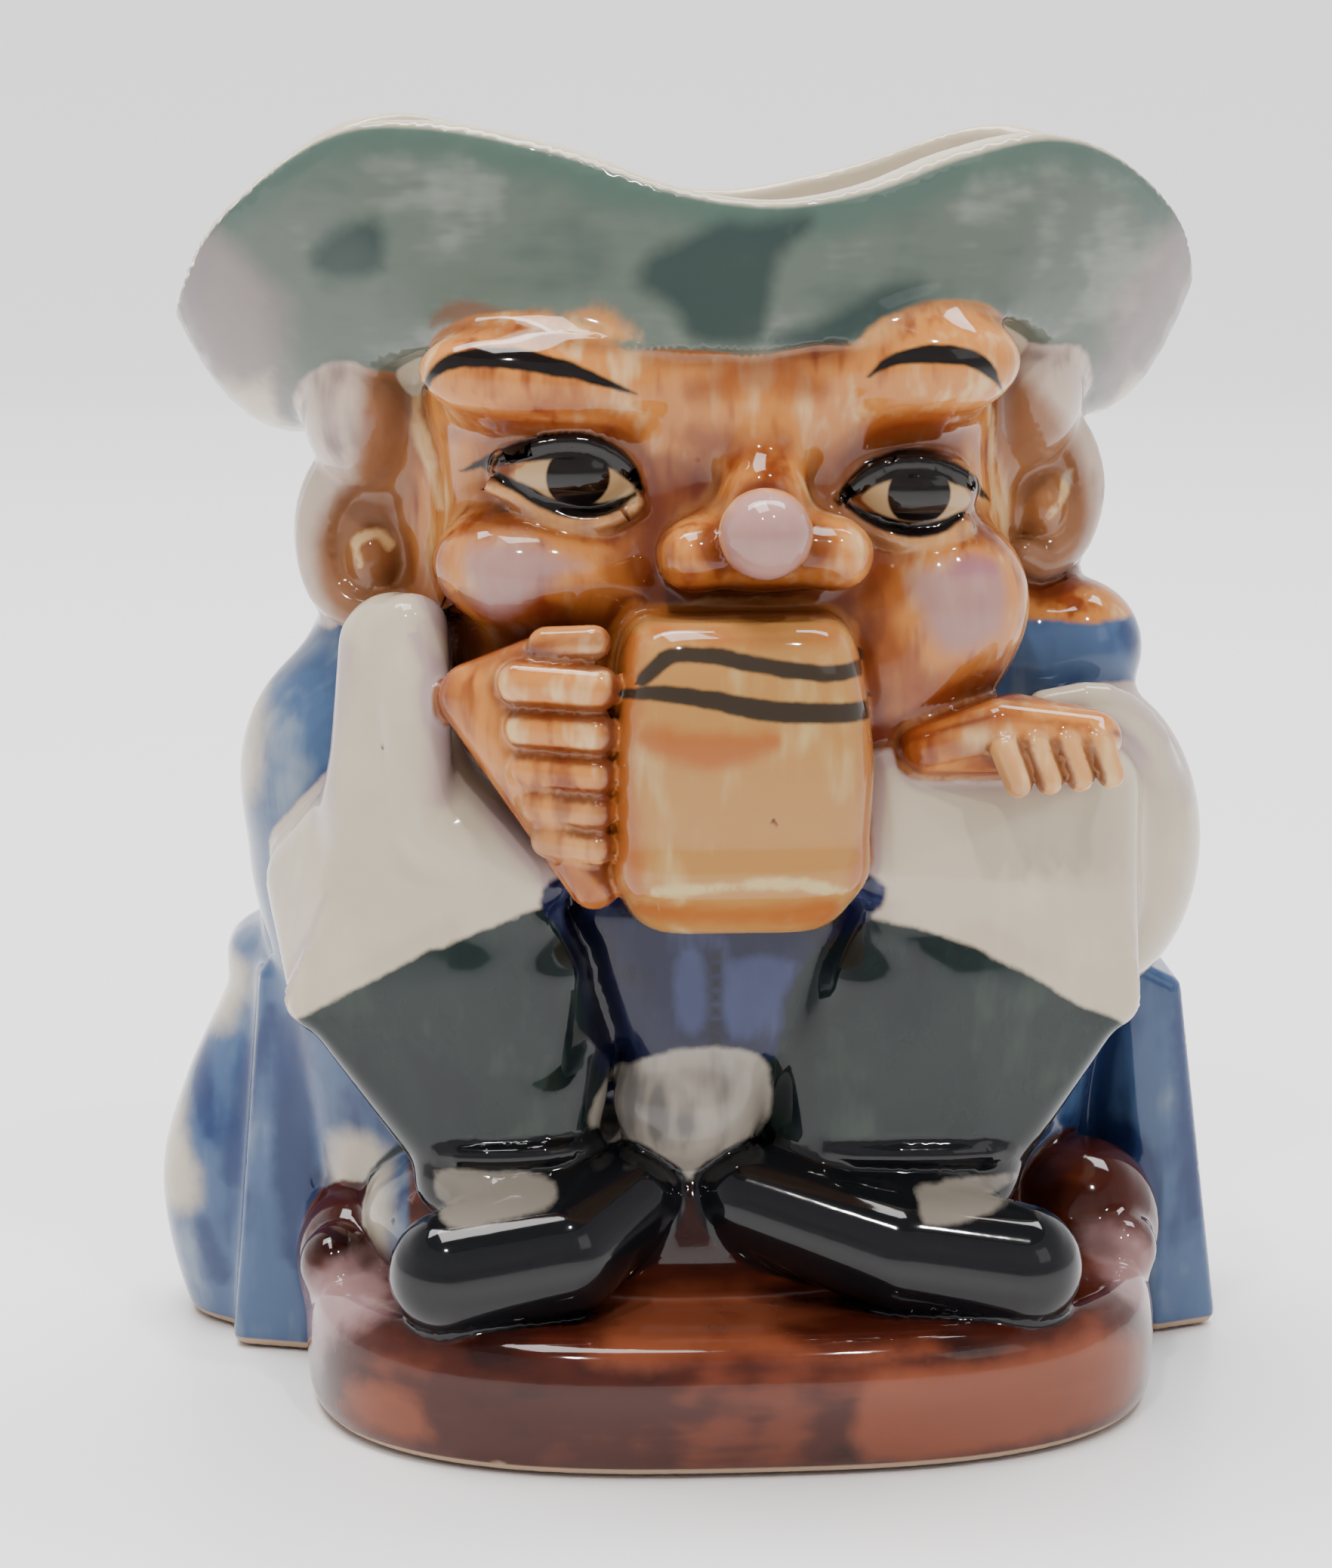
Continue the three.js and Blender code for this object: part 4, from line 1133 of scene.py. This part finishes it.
AREAS = {
    "eye": (EYES, -15), "cheek": (CHEEKS, -15), "hat_dark": (HAT_DARKS, -10), "ear": (EARS, 1),
    "sock": (SOCKS, -18), "waist_pale": (WAIST_PALES, -16), "bare_coat": (BARE_COAT, 30),
    "bare_tail": (BARE_TAILS, 4), "shoe_shade": (SHOE_SHADES, -10),
    "plinth_glow": (PLINTH_LIGHTS, -8), "pool": (GLAZE_POOLS_AND_SHEEN, 4),
}
PAINTS = (
    "skin", "mug", "hat", "hair", "coat", "sleeve", "breeches", "waistcoat", "seat", "shoe",
    "plinth", "handle",
)

# Where one paint gives way to another
COLLAR_TOP = 61.5
NECK_MIDDLE = -6
SEAT_TOP = 19
BUMP_MIDDLE, BUMP_SIDE = -4, 9
PLINTH_MIDDLE, PLINTH_SIDE = -1, 24
LAP_BACK = -6
LAP_FRONT = -14
EYE_BACK = -15
NOSE_DAB = (0.5, -35.2, 69.9)
NOSE_DAB_RADIUS = 3.4
HAT_CORNER = 31
HAT_CORNER_TOP = 86
BARE_EDGE = 0.9
HOLLOW_REACH = 3.6
CREASE_REACH = 1.5


def form_depths(points):
    """How deep each place lies within the paint of its nearest form."""
    nearest = {name: np.full(len(points), FAR) for name in PAINTS}
    for name, _, (centre, reach, distance) in FORMS:
        near = np.flatnonzero(length(points - centre) < reach + NEAR)
        nearest[name][near] = np.minimum(nearest[name][near], distance(points[near]))
    order = np.sort(list(nearest.values()), axis=0)
    return {
        name: limited(np.where(gap <= order[0], order[1], order[0]) - gap)
        for name, gap in nearest.items()
    }


def clothes(found, points):
    """Parts the paint of the neck, the lap and the seat among the clothes around them."""
    x, y, z = points.T
    neck = np.minimum(found["coat"], z - COLLAR_TOP)
    found["skin"] = np.maximum(found["skin"], np.minimum(neck, NECK_MIDDLE - y))
    found["hair"] = np.maximum(found["hair"], np.minimum(neck, y - NECK_MIDDLE))
    lap = np.max([found[name] for name in ("sleeve", "breeches", "waistcoat", "seat")], axis=0)
    beside_bump = np.maximum(SEAT_TOP - z, np.abs(x - BUMP_MIDDLE) - BUMP_SIDE)
    seat = np.minimum(found.pop("seat"), beside_bump)
    beside_plinth = np.abs(x - PLINTH_MIDDLE) - PLINTH_SIDE
    coat = np.minimum(found["coat"], COLLAR_TOP - z)
    found["coat"] = np.maximum(coat, np.minimum(seat, beside_plinth))
    found["plinth"] = np.maximum(found["plinth"], np.minimum(seat, -beside_plinth))
    edge = np.interp(x, *zip(*SLEEVE_EDGE))
    below = limited(edge - z)
    below[y > LAP_BACK] = -DEEPEST
    lap = np.minimum(lap, -seat)
    found["sleeve"] = np.minimum(lap, -below)
    found["breeches"] = np.minimum(lap, below)
    found["waistcoat"] = np.minimum(lap, patch(points, WAISTCOAT, LAP_FRONT))
    found["bump"] = np.minimum(lap, patch(points, BUMP, LAP_FRONT))


def paints(points, normal):
    """For every corner, how deep it lies in each paint, and where the brush strokes are."""
    found = form_depths(points)
    clothes(found, points)
    x, y, z = points.T
    for name, (paths, front) in CRISP.items():
        found[name], found[name + "_half"] = strokes(points, paths, front)
    for name, (paths, front) in SOFT.items():
        found[name] = soft_strokes(points, paths, front)
    for name, (outlines, front) in AREAS.items():
        found[name] = patches(points, outlines, front)
    iris = IRIS_RADIUS - np.min([length(points[:, [0, 2]] - at) for at in IRISES], axis=0)
    found["iris"] = np.minimum(iris, found["eye"])
    found["iris"][y > EYE_BACK] = -DEEPEST
    found["nose"] = NOSE_DAB_RADIUS - length(points - NOSE_DAB)
    lip = profile_lookup([hat_ring(1, 0)], points)[1][0][1]
    found["lip"] = np.clip(lip - z, -2, 14)
    beside_hat = np.abs(x - HAT_MIDDLE[0]) - HAT_CORNER
    found["corner"] = limited(beside_hat - np.maximum(z - HAT_CORNER_TOP, 0))
    found["inside"] = limited(LIP * 0.8 - HOLLOW[2](points))
    found["foot"] = limited(BARE_EDGE - z)
    found["chip"] = limited(0.3 - CHIPPED[2](points))
    # How enclosed each place is and how far it stands out: for painted shade in the creases and
    # hollows, and painted highlights on the ridges.
    found["crease"] = CREASE_REACH - clay(points + normal * CREASE_REACH)
    found["hollow"] = HOLLOW_REACH - clay(points + normal * HOLLOW_REACH)
    found["ridge"] = CREASE_REACH + clay(points - normal * CREASE_REACH)
    return found


def jug_mesh():
    points, normal, triangles = sculpt()
    mesh = bpy.data.meshes.new("toby_jug_glazed")
    mesh.vertices.add(len(points))
    mesh.vertices.foreach_set("co", to_metres(points).astype(np.float32).ravel())
    mesh.loops.add(len(triangles) * 3)
    mesh.loops.foreach_set("vertex_index", triangles.astype(np.int32).ravel())
    mesh.polygons.add(len(triangles))
    starts = np.arange(0, len(triangles) * 3, 3, dtype=np.int32)
    mesh.polygons.foreach_set("loop_start", starts)
    mesh.update(calc_edges=True)
    mesh.polygons.foreach_set("use_smooth", np.ones(len(triangles), bool))
    for name, values in paints(points, normal).items():
        layer = mesh.attributes.new(name, "FLOAT", "POINT")
        layer.data.foreach_set("value", values.astype(np.float32))
    mesh.normals_split_custom_set_from_vertices(normal)
    mesh.validate()
    return mesh


# Finish
def linear(hex_colour):
    """An sRGB hex colour as linear red, green, blue and alpha."""
    parts = [int(hex_colour[i:i + 2], 16) / 255 for i in (1, 3, 5)]
    return (*(c / 12.92 if c <= 0.04045 else ((c + 0.055) / 1.055) ** 2.4 for c in parts), 1.0)


def add(tree, kind, settings=None, output=0, **links):
    """Adds a node with its settings, links or fills its sockets and gives one of its outputs.

    A socket is told by its name, or by n and its number.
    """
    node = tree.nodes.new("ShaderNode" + kind)
    for name, value in (settings or {}).items():
        setattr(node, name, value)
    for name, value in links.items():
        key = int(name[1:]) if name[1:].isdigit() else name.replace("_", " ")
        if isinstance(value, bpy.types.NodeSocket):
            tree.links.new(value, node.inputs[key])
        else:
            node.inputs[key].default_value = value
    return node.outputs[output] if node.outputs else None


# Colours as they look under the glaze
COLOURS = {
    "cream": "#c6b9a2",
    "white": "#bdb09a",
    "lilac": "#a89092",
    "bare_clay": "#b79a80",
    "skin": "#c07c3c",
    "skin_deep": "#803b18",
    "skin_pale": "#d6b07c",
    "crease": "#5f2414",
    "mug": "#a97a42",
    "mug_deep": "#9c5525",
    "mug_pale": "#c0a872",
    "stripe": "#33291f",
    "hat": "#5b655c",
    "hat_thin": "#7d847b",
    "hat_deep": "#4d5952",
    "hat_band": "#4b5f56",
    "hat_dark": "#2d3c39",
    "hat_brown": "#6b4a34",
    "hair": "#c0ab9b",
    "hair_deep": "#85706d",
    "coat": "#455c7f",
    "coat_deep": "#22345e",
    "coat_pale": "#7f8c9c",
    "breeches": "#13211f",
    "breeches_deep": "#0e1517",
    "breeches_pale": "#27352d",
    "waistcoat": "#151936",
    "waistcoat_deep": "#090a16",
    "waistcoat_pale": "#394268",
    "shoe": "#101114",
    "plinth": "#41190f",
    "plinth_deep": "#260f0c",
    "plinth_pale": "#68321f",
    # Lighter orange for the painted light on the plinth
    "plinth_glow": "#8a4a30",
    "black": "#120d0b",
    "pink": "#9c7a79",
    "sock": "#7f786e",
    # The white bump between the legs, greyed as painted shade
    "bump": "#9c9488",
    "bump_deep": "#65615d",
    "magenta": "#93506a",
    "eye": "#ad9068",
    "ear": "#895a38",
}
GLAZE_ROUGHNESS = 0.07
# A little under a typical glaze's 1.5, matched to how weakly the dark colours mirror the table
GLAZE_IOR = 1.43
BARE_ROUGHNESS = 0.75

# Real sizes of the patterns, in millimetres
CLOUD_MM = 9.0
BLOT_MM = 3.2
GRAIN_MM = 1.1
BRISTLE_MM = 1.5
RIPPLE_MM = 2.4
RIPPLE_DEPTH_MM = 0.06
STRETCH = 0.22


def glazed_earthenware():
    """Slip-cast white earthenware, brushed with underglaze colours and dipped in clear glaze.

    The glaze gives a wet shine with sharp glints; the thin brushed colours show their strokes.
    Painted shade darkens them in the creases and hollows, and painted highlights pale them on the
    ridges. The foot's edge and a chip are bare clay.
    """
    material = bpy.data.materials.new("glazed_earthenware")
    material.use_nodes = True
    material.node_tree.nodes.clear()
    node = partial(add, material.node_tree)
    place = node("TexCoord", output="Object")

    def mottle(size_mm, detail, stretch=(1, 1, 1)):
        """Cloudy variation from 0 to 1 with blots of about the given size."""
        moved = node("Mapping", {"vector_type": "POINT"}, Vector=place, Scale=stretch)
        return node("TexNoise", Vector=moved, Scale=1000 / size_mm, Detail=detail, Roughness=0.55)

    cloud = mottle(CLOUD_MM, 3.0)
    blot = mottle(BLOT_MM, 4.0)
    grain = mottle(GRAIN_MM, 2.0)
    strokes_down = mottle(BRISTLE_MM, 2.5, (1, 1, STRETCH))
    strokes_along = mottle(BRISTLE_MM, 2.5, (STRETCH, STRETCH, 1))
    blots = node("Math", {"operation": "MULTIPLY_ADD"}, n0=grain, n1=0.3, n2=blot)
    wobble = node("Math", {"operation": "MULTIPLY_ADD"}, n0=blots, n1=1.5, n2=-0.98)

    def shown(depth, low, high, uneven=0.0):
        """How fully a paint shows: from none at the low depth to all at the high one."""
        if isinstance(depth, str):
            depth = node("Attribute", {"attribute_name": depth}, "Fac")
        if uneven:
            depth = node("Math", {"operation": "MULTIPLY_ADD"}, n0=wobble, n1=uneven, n2=depth)
        smooth = {"interpolation_type": "SMOOTHSTEP"}
        return node("MapRange", smooth, Value=depth, From_Min=low, From_Max=high)

    def covers(name, soft=0.3, reach=0.45):
        """Where a form's paint lies, with a hand-painted edge that reaches a little over."""
        return shown(name, -soft - reach, soft - reach, 0.7)

    def dabs(name, low=-0.4, high=0.6):
        """Where soft strokes and patches lie, with uneven edges."""
        return shown(name, low, high, 1.0)

    def layered(below, *layers):
        """Colours one over another. Each layer is a colour, where it shows and how thickly."""
        for colour, amount, *share in layers:
            if share:
                amount = node("Math", {"operation": "MULTIPLY"}, n0=amount, n1=share[0])
            if isinstance(colour, str):
                colour = linear(COLOURS[colour])
            below = node("Mix", {"data_type": "RGBA"}, 2, n0=amount, n6=below, n7=colour)
        return below

    def washed(name, thin, thick, strokes, share=0.3, spread=0.16):
        """A brushed colour that pales where it is thin and deepens where it pools."""
        calm = node("Math", {"operation": "MULTIPLY"}, n0=cloud, n1=1 - share)
        tone = node("Math", {"operation": "MULTIPLY_ADD"}, n0=strokes, n1=share, n2=calm)
        return layered(
            linear(COLOURS[name]), (thin, shown(tone, 0.51, 0.51 + spread)),
            (thick, shown(tone, 0.49, 0.49 - spread)),
        )

    def line(name, colour):
        """A layer of crisp brush strokes."""
        half = node("Attribute", {"attribute_name": name + "_half"}, "Fac")
        across = node("Attribute", {"attribute_name": name}, "Fac")
        across = node("Math", {"operation": "ABSOLUTE"}, n0=across)
        spare = node("Math", {"operation": "SUBTRACT"}, n0=half, n1=across)
        spare = node("Math", {"operation": "MULTIPLY_ADD"}, n0=grain, n1=0.3, n2=spare)
        return colour, shown(spare, -0.03, 0.33)

    # Painted shade in the creases.
    crease = shown("crease", 0.12, 0.7)
    skin = layered(
        washed("skin", "skin_pale", "skin_deep", strokes_down, 0.5, 0.13),
        # Over the skin: painted shade in the hollows, creases and folds, under the brows and beside
        # the nose and cheeks; painted highlights on the ridges, the face's edges and the ears'
        # curls; the ears' brown darkened as painted shade.
        ("skin_deep", shown("hollow", 0.3, 2.0), 0.6),
        ("skin_deep", dabs("glow", -0.9, 1.1), 0.7),
        ("skin_pale", shown("ridge", 0.1, 0.7), 0.35),
        ("crease", crease, 0.65),
        ("crease", dabs("fold", -0.6, 0.8), 0.6),
        ("skin_pale", dabs("pale", -0.4, 0.3), 0.9),
        ("ear", covers("ear", 1.0), 0.8),
        ("skin_pale", dabs("swirl", -0.2, 0.3)),
    )
    mug = layered(
        # Painted shade down the mug's sides, along its base and in its creases, and a painted
        # highlight along its bevel.
        washed("mug", "mug_pale", "mug", strokes_down),
        ("mug_deep", dabs("mug_glow", -0.8, 0.9), 0.85),
        ("mug_deep", crease, 0.8),
        ("mug_pale", dabs("mug_line", -0.3, 0.3)),
        line("stripe_high", "stripe"),
        line("stripe_low", "stripe"),
    )
    hat = layered(
        washed("hat", "hat_thin", "hat_deep", strokes_along),
        ("hat_band", shown("lip", 4.0, 1.4, 2.0), 0.9),
        ("hat_dark", covers("hat_dark", 0.9, 0.2), 0.9),
        ("hat_brown", dabs("hat_stroke"), 0.8),
        ("lilac", dabs("corner", -1.5, 3.0), 0.45),
        ("cream", shown("lip", 0.75, 0.25), 0.8),
    )
    hair = layered(
        # Painted shade in the hair's creases; the ears' brown darkened as painted shade, with
        # painted highlights on their curls.
        washed("hair", "white", "hair_deep", strokes_down),
        ("hair_deep", crease, 0.8),
        ("ear", covers("ear", 1.0), 0.9),
        ("white", dabs("swirl", -0.2, 0.4), 0.8),
    )
    coat = layered(
        washed("coat", "coat_pale", "coat_deep", strokes_down, 0.25, 0.2),
        # Painted shade in the coat's creases and in some of its deep blue folds.
        ("coat_deep", crease, 0.9),
        ("coat_deep", dabs("coat_fold", -0.8, 0.8), 0.9),
        ("cream", dabs("bare_coat", -1.2, 1.2), 0.9),
        ("cream", dabs("bare_tail", -1.2, 1.2), 0.9),
    )
    linen = layered(
        # Lilac as painted shade in the sleeves' creases and on their turned-away sides.
        washed("white", "cream", "white", strokes_down),
        ("lilac", crease, 0.7),
        ("lilac", dabs("sleeve_tint", -1.0, 1.0), 0.6),
    )
    breeches = layered(
        # Painted shade down the breeches' inner sides and under the sleeves.
        washed("breeches", "breeches_pale", "breeches_deep", strokes_down),
        ("breeches_deep", dabs("lap_fold", -1.0, 1.0), 0.8),
    )
    waistcoat = layered(
        # Deep navy marks, with painted shade under the mug.
        washed("waistcoat", "waistcoat_pale", "waistcoat_deep", strokes_down),
        ("waistcoat_deep", dabs("waist_fold", -0.8, 0.8), 0.9),
        ("waistcoat_pale", dabs("waist_pale", -0.5, 0.7), 0.8),
    )
    plinth = layered(
        washed("plinth", "plinth_pale", "plinth_deep", strokes_along),
        # Painted light along the top edge and over the right side, and a painted sheen on the pooled
        # glaze at the top corners.
        ("plinth_glow", dabs("plinth_glow", -0.4, 1.4), 0.7),
        ("plinth_deep", dabs("shoe_shade", -0.5, 1.5), 0.9),
        ("pink", dabs("pool", -0.8, 0.8), 0.85),
    )
    # The bump's white glaze, greyed as painted shade.
    bump = washed("bump", "white", "bump_deep", strokes_down)
    shoe = layered(linear(COLOURS["shoe"]), ("sock", covers("sock", 0.25, 0.0)))
    bare = node(
        "Math", {"operation": "MAXIMUM"}, n0=shown("foot", -0.1, 0.15),
        n1=shown("chip", -0.1, 0.15),
    )
    colour = layered(
        linear(COLOURS["white"]),
        *[(paint, covers(name)) for name, paint in (
            ("coat", coat), ("handle", coat), ("sleeve", linen), ("breeches", breeches),
            ("waistcoat", waistcoat), ("bump", bump), ("plinth", plinth), ("shoe", shoe),
            ("hat", hat), ("hair", hair), ("skin", skin), ("mug", mug),
        )],
        ("pink", dabs("cheek", 0.0, 2.0), 0.85),
        ("magenta", dabs("blush", -0.6, 0.6), 0.5),
        ("pink", dabs("nose", -0.4, 0.6), 0.85),
        ("eye", shown("eye", -0.15, 0.15)),
        ("black", shown("iris", -0.12, 0.12)),
        *[line(name, "black") for name in ("brow", "lid", "under")],
        ("crease", dabs("speck", -0.1, 0.15)),
        ("cream", shown("inside", -0.2, 0.2)),
        ("bare_clay", bare),
    )
    ripple = node(
        "Bump", Strength=0.25, Distance=RIPPLE_DEPTH_MM / 1000, Height=mottle(RIPPLE_MM, 2.0),
    )
    rough = node(
        "Math", {"operation": "MULTIPLY_ADD"}, n0=bare, n1=BARE_ROUGHNESS - GLAZE_ROUGHNESS,
        n2=GLAZE_ROUGHNESS,
    )
    surface = node(
        "BsdfPrincipled", Base_Color=colour, Roughness=rough, IOR=GLAZE_IOR, Normal=ripple,
    )
    node("OutputMaterial", Surface=surface)
    return material


def jug():
    piece = bpy.data.objects.new("toby_jug_glazed", jug_mesh())
    bpy.context.scene.collection.objects.link(piece)
    piece.data.materials.append(glazed_earthenware())
    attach(piece, "root")
    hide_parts("toby_jug")
    return piece


# Studio
def pale_table():
    """Painted board: a pale, faintly glossy sweep that takes a soft reflection of the jug."""
    material = bpy.data.materials.new("painted_board")
    material.use_nodes = True
    shader = material.node_tree.nodes["Principled BSDF"]
    shader.inputs["Base Color"].default_value = linear("#f1f0f1")
    shader.inputs["Roughness"].default_value = 0.32
    return material


def sweep():
    """The pale floor, turned up all round into a wall far from the jug."""
    middle, reach, radius, height = 0.3, 1.9, 0.8, 2.4
    sides, steps = 64, 16
    profile = [(middle, 0.0), (reach - radius, 0.0)]
    for step in range(1, steps + 1):
        turn = step / steps * math.pi / 2
        profile.append((reach - radius + radius * math.sin(turn), radius * (1 - math.cos(turn))))
    profile.append((reach, height))
    shape = bmesh.new()
    rings = []
    for out, z in profile:
        turns = (2 * math.pi * i / sides for i in range(sides))
        rings.append([shape.verts.new((out * math.cos(t), out * math.sin(t), z)) for t in turns])
    shape.faces.new(rings[0])
    for low, high in zip(rings[:-1], rings[1:]):
        for i in range(sides):
            shape.faces.new((low[i], low[i - 1], high[i - 1], high[i]))
    for face in shape.faces:
        face.smooth = True
    mesh = bpy.data.meshes.new("floor")
    shape.to_mesh(mesh)
    shape.free()
    mesh.materials.append(pale_table())
    floor = bpy.data.objects.new("floor", mesh)
    bpy.context.scene.collection.objects.link(floor)
    floor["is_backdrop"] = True


DAYLIGHT = (1, 0.98, 0.95)
BULB = (0.025, 0.025)


def lamp(name, place, aim, size, power, colour):
    data = bpy.data.lights.new(name, "AREA")
    data.shape = "RECTANGLE"
    data.size, data.size_y = size
    data.energy = power
    data.color = colour
    light = bpy.data.objects.new(name, data)
    bpy.context.scene.collection.objects.link(light)
    light.location = place
    light.rotation_mode = "QUATERNION"
    light.rotation_quaternion = (Vector(aim) - Vector(place)).to_track_quat("-Z", "Y")


def lighting():
    world = bpy.data.worlds.new("studio")
    world.use_nodes = True
    sky = world.node_tree.nodes["Background"]
    sky.inputs["Color"].default_value = linear("#e6e6ea")
    sky.inputs["Strength"].default_value = 0.25
    bpy.context.scene.world = world
    jug_middle = (0, 0, 0.045)
    lamp("window", (-0.12, -0.02, 0.8), jug_middle, (0.4, 0.3), 6.0, DAYLIGHT)
    lamp("fill", (0.5, -0.5, 0.4), jug_middle, (0.3, 0.3), 0.3, DAYLIGHT)
    lamp("bulb_left", (-0.14, -0.36, 0.55), jug_middle, BULB, 1.2, DAYLIGHT)
    lamp("bulb_right", (0.14, -0.3, 0.56), jug_middle, BULB, 1.2, DAYLIGHT)
    lamp("backdrop", (0, 0.35, 1.3), (0, 1.0, 0), (1.6, 0.5), 38.0, (1, 1, 1))


camera()
sweep()
lighting()
jug()


def corners(box):
    return [list(corner) for corner in box]


{"cad": corners(CAD_BOX), "visual": corners(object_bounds())}
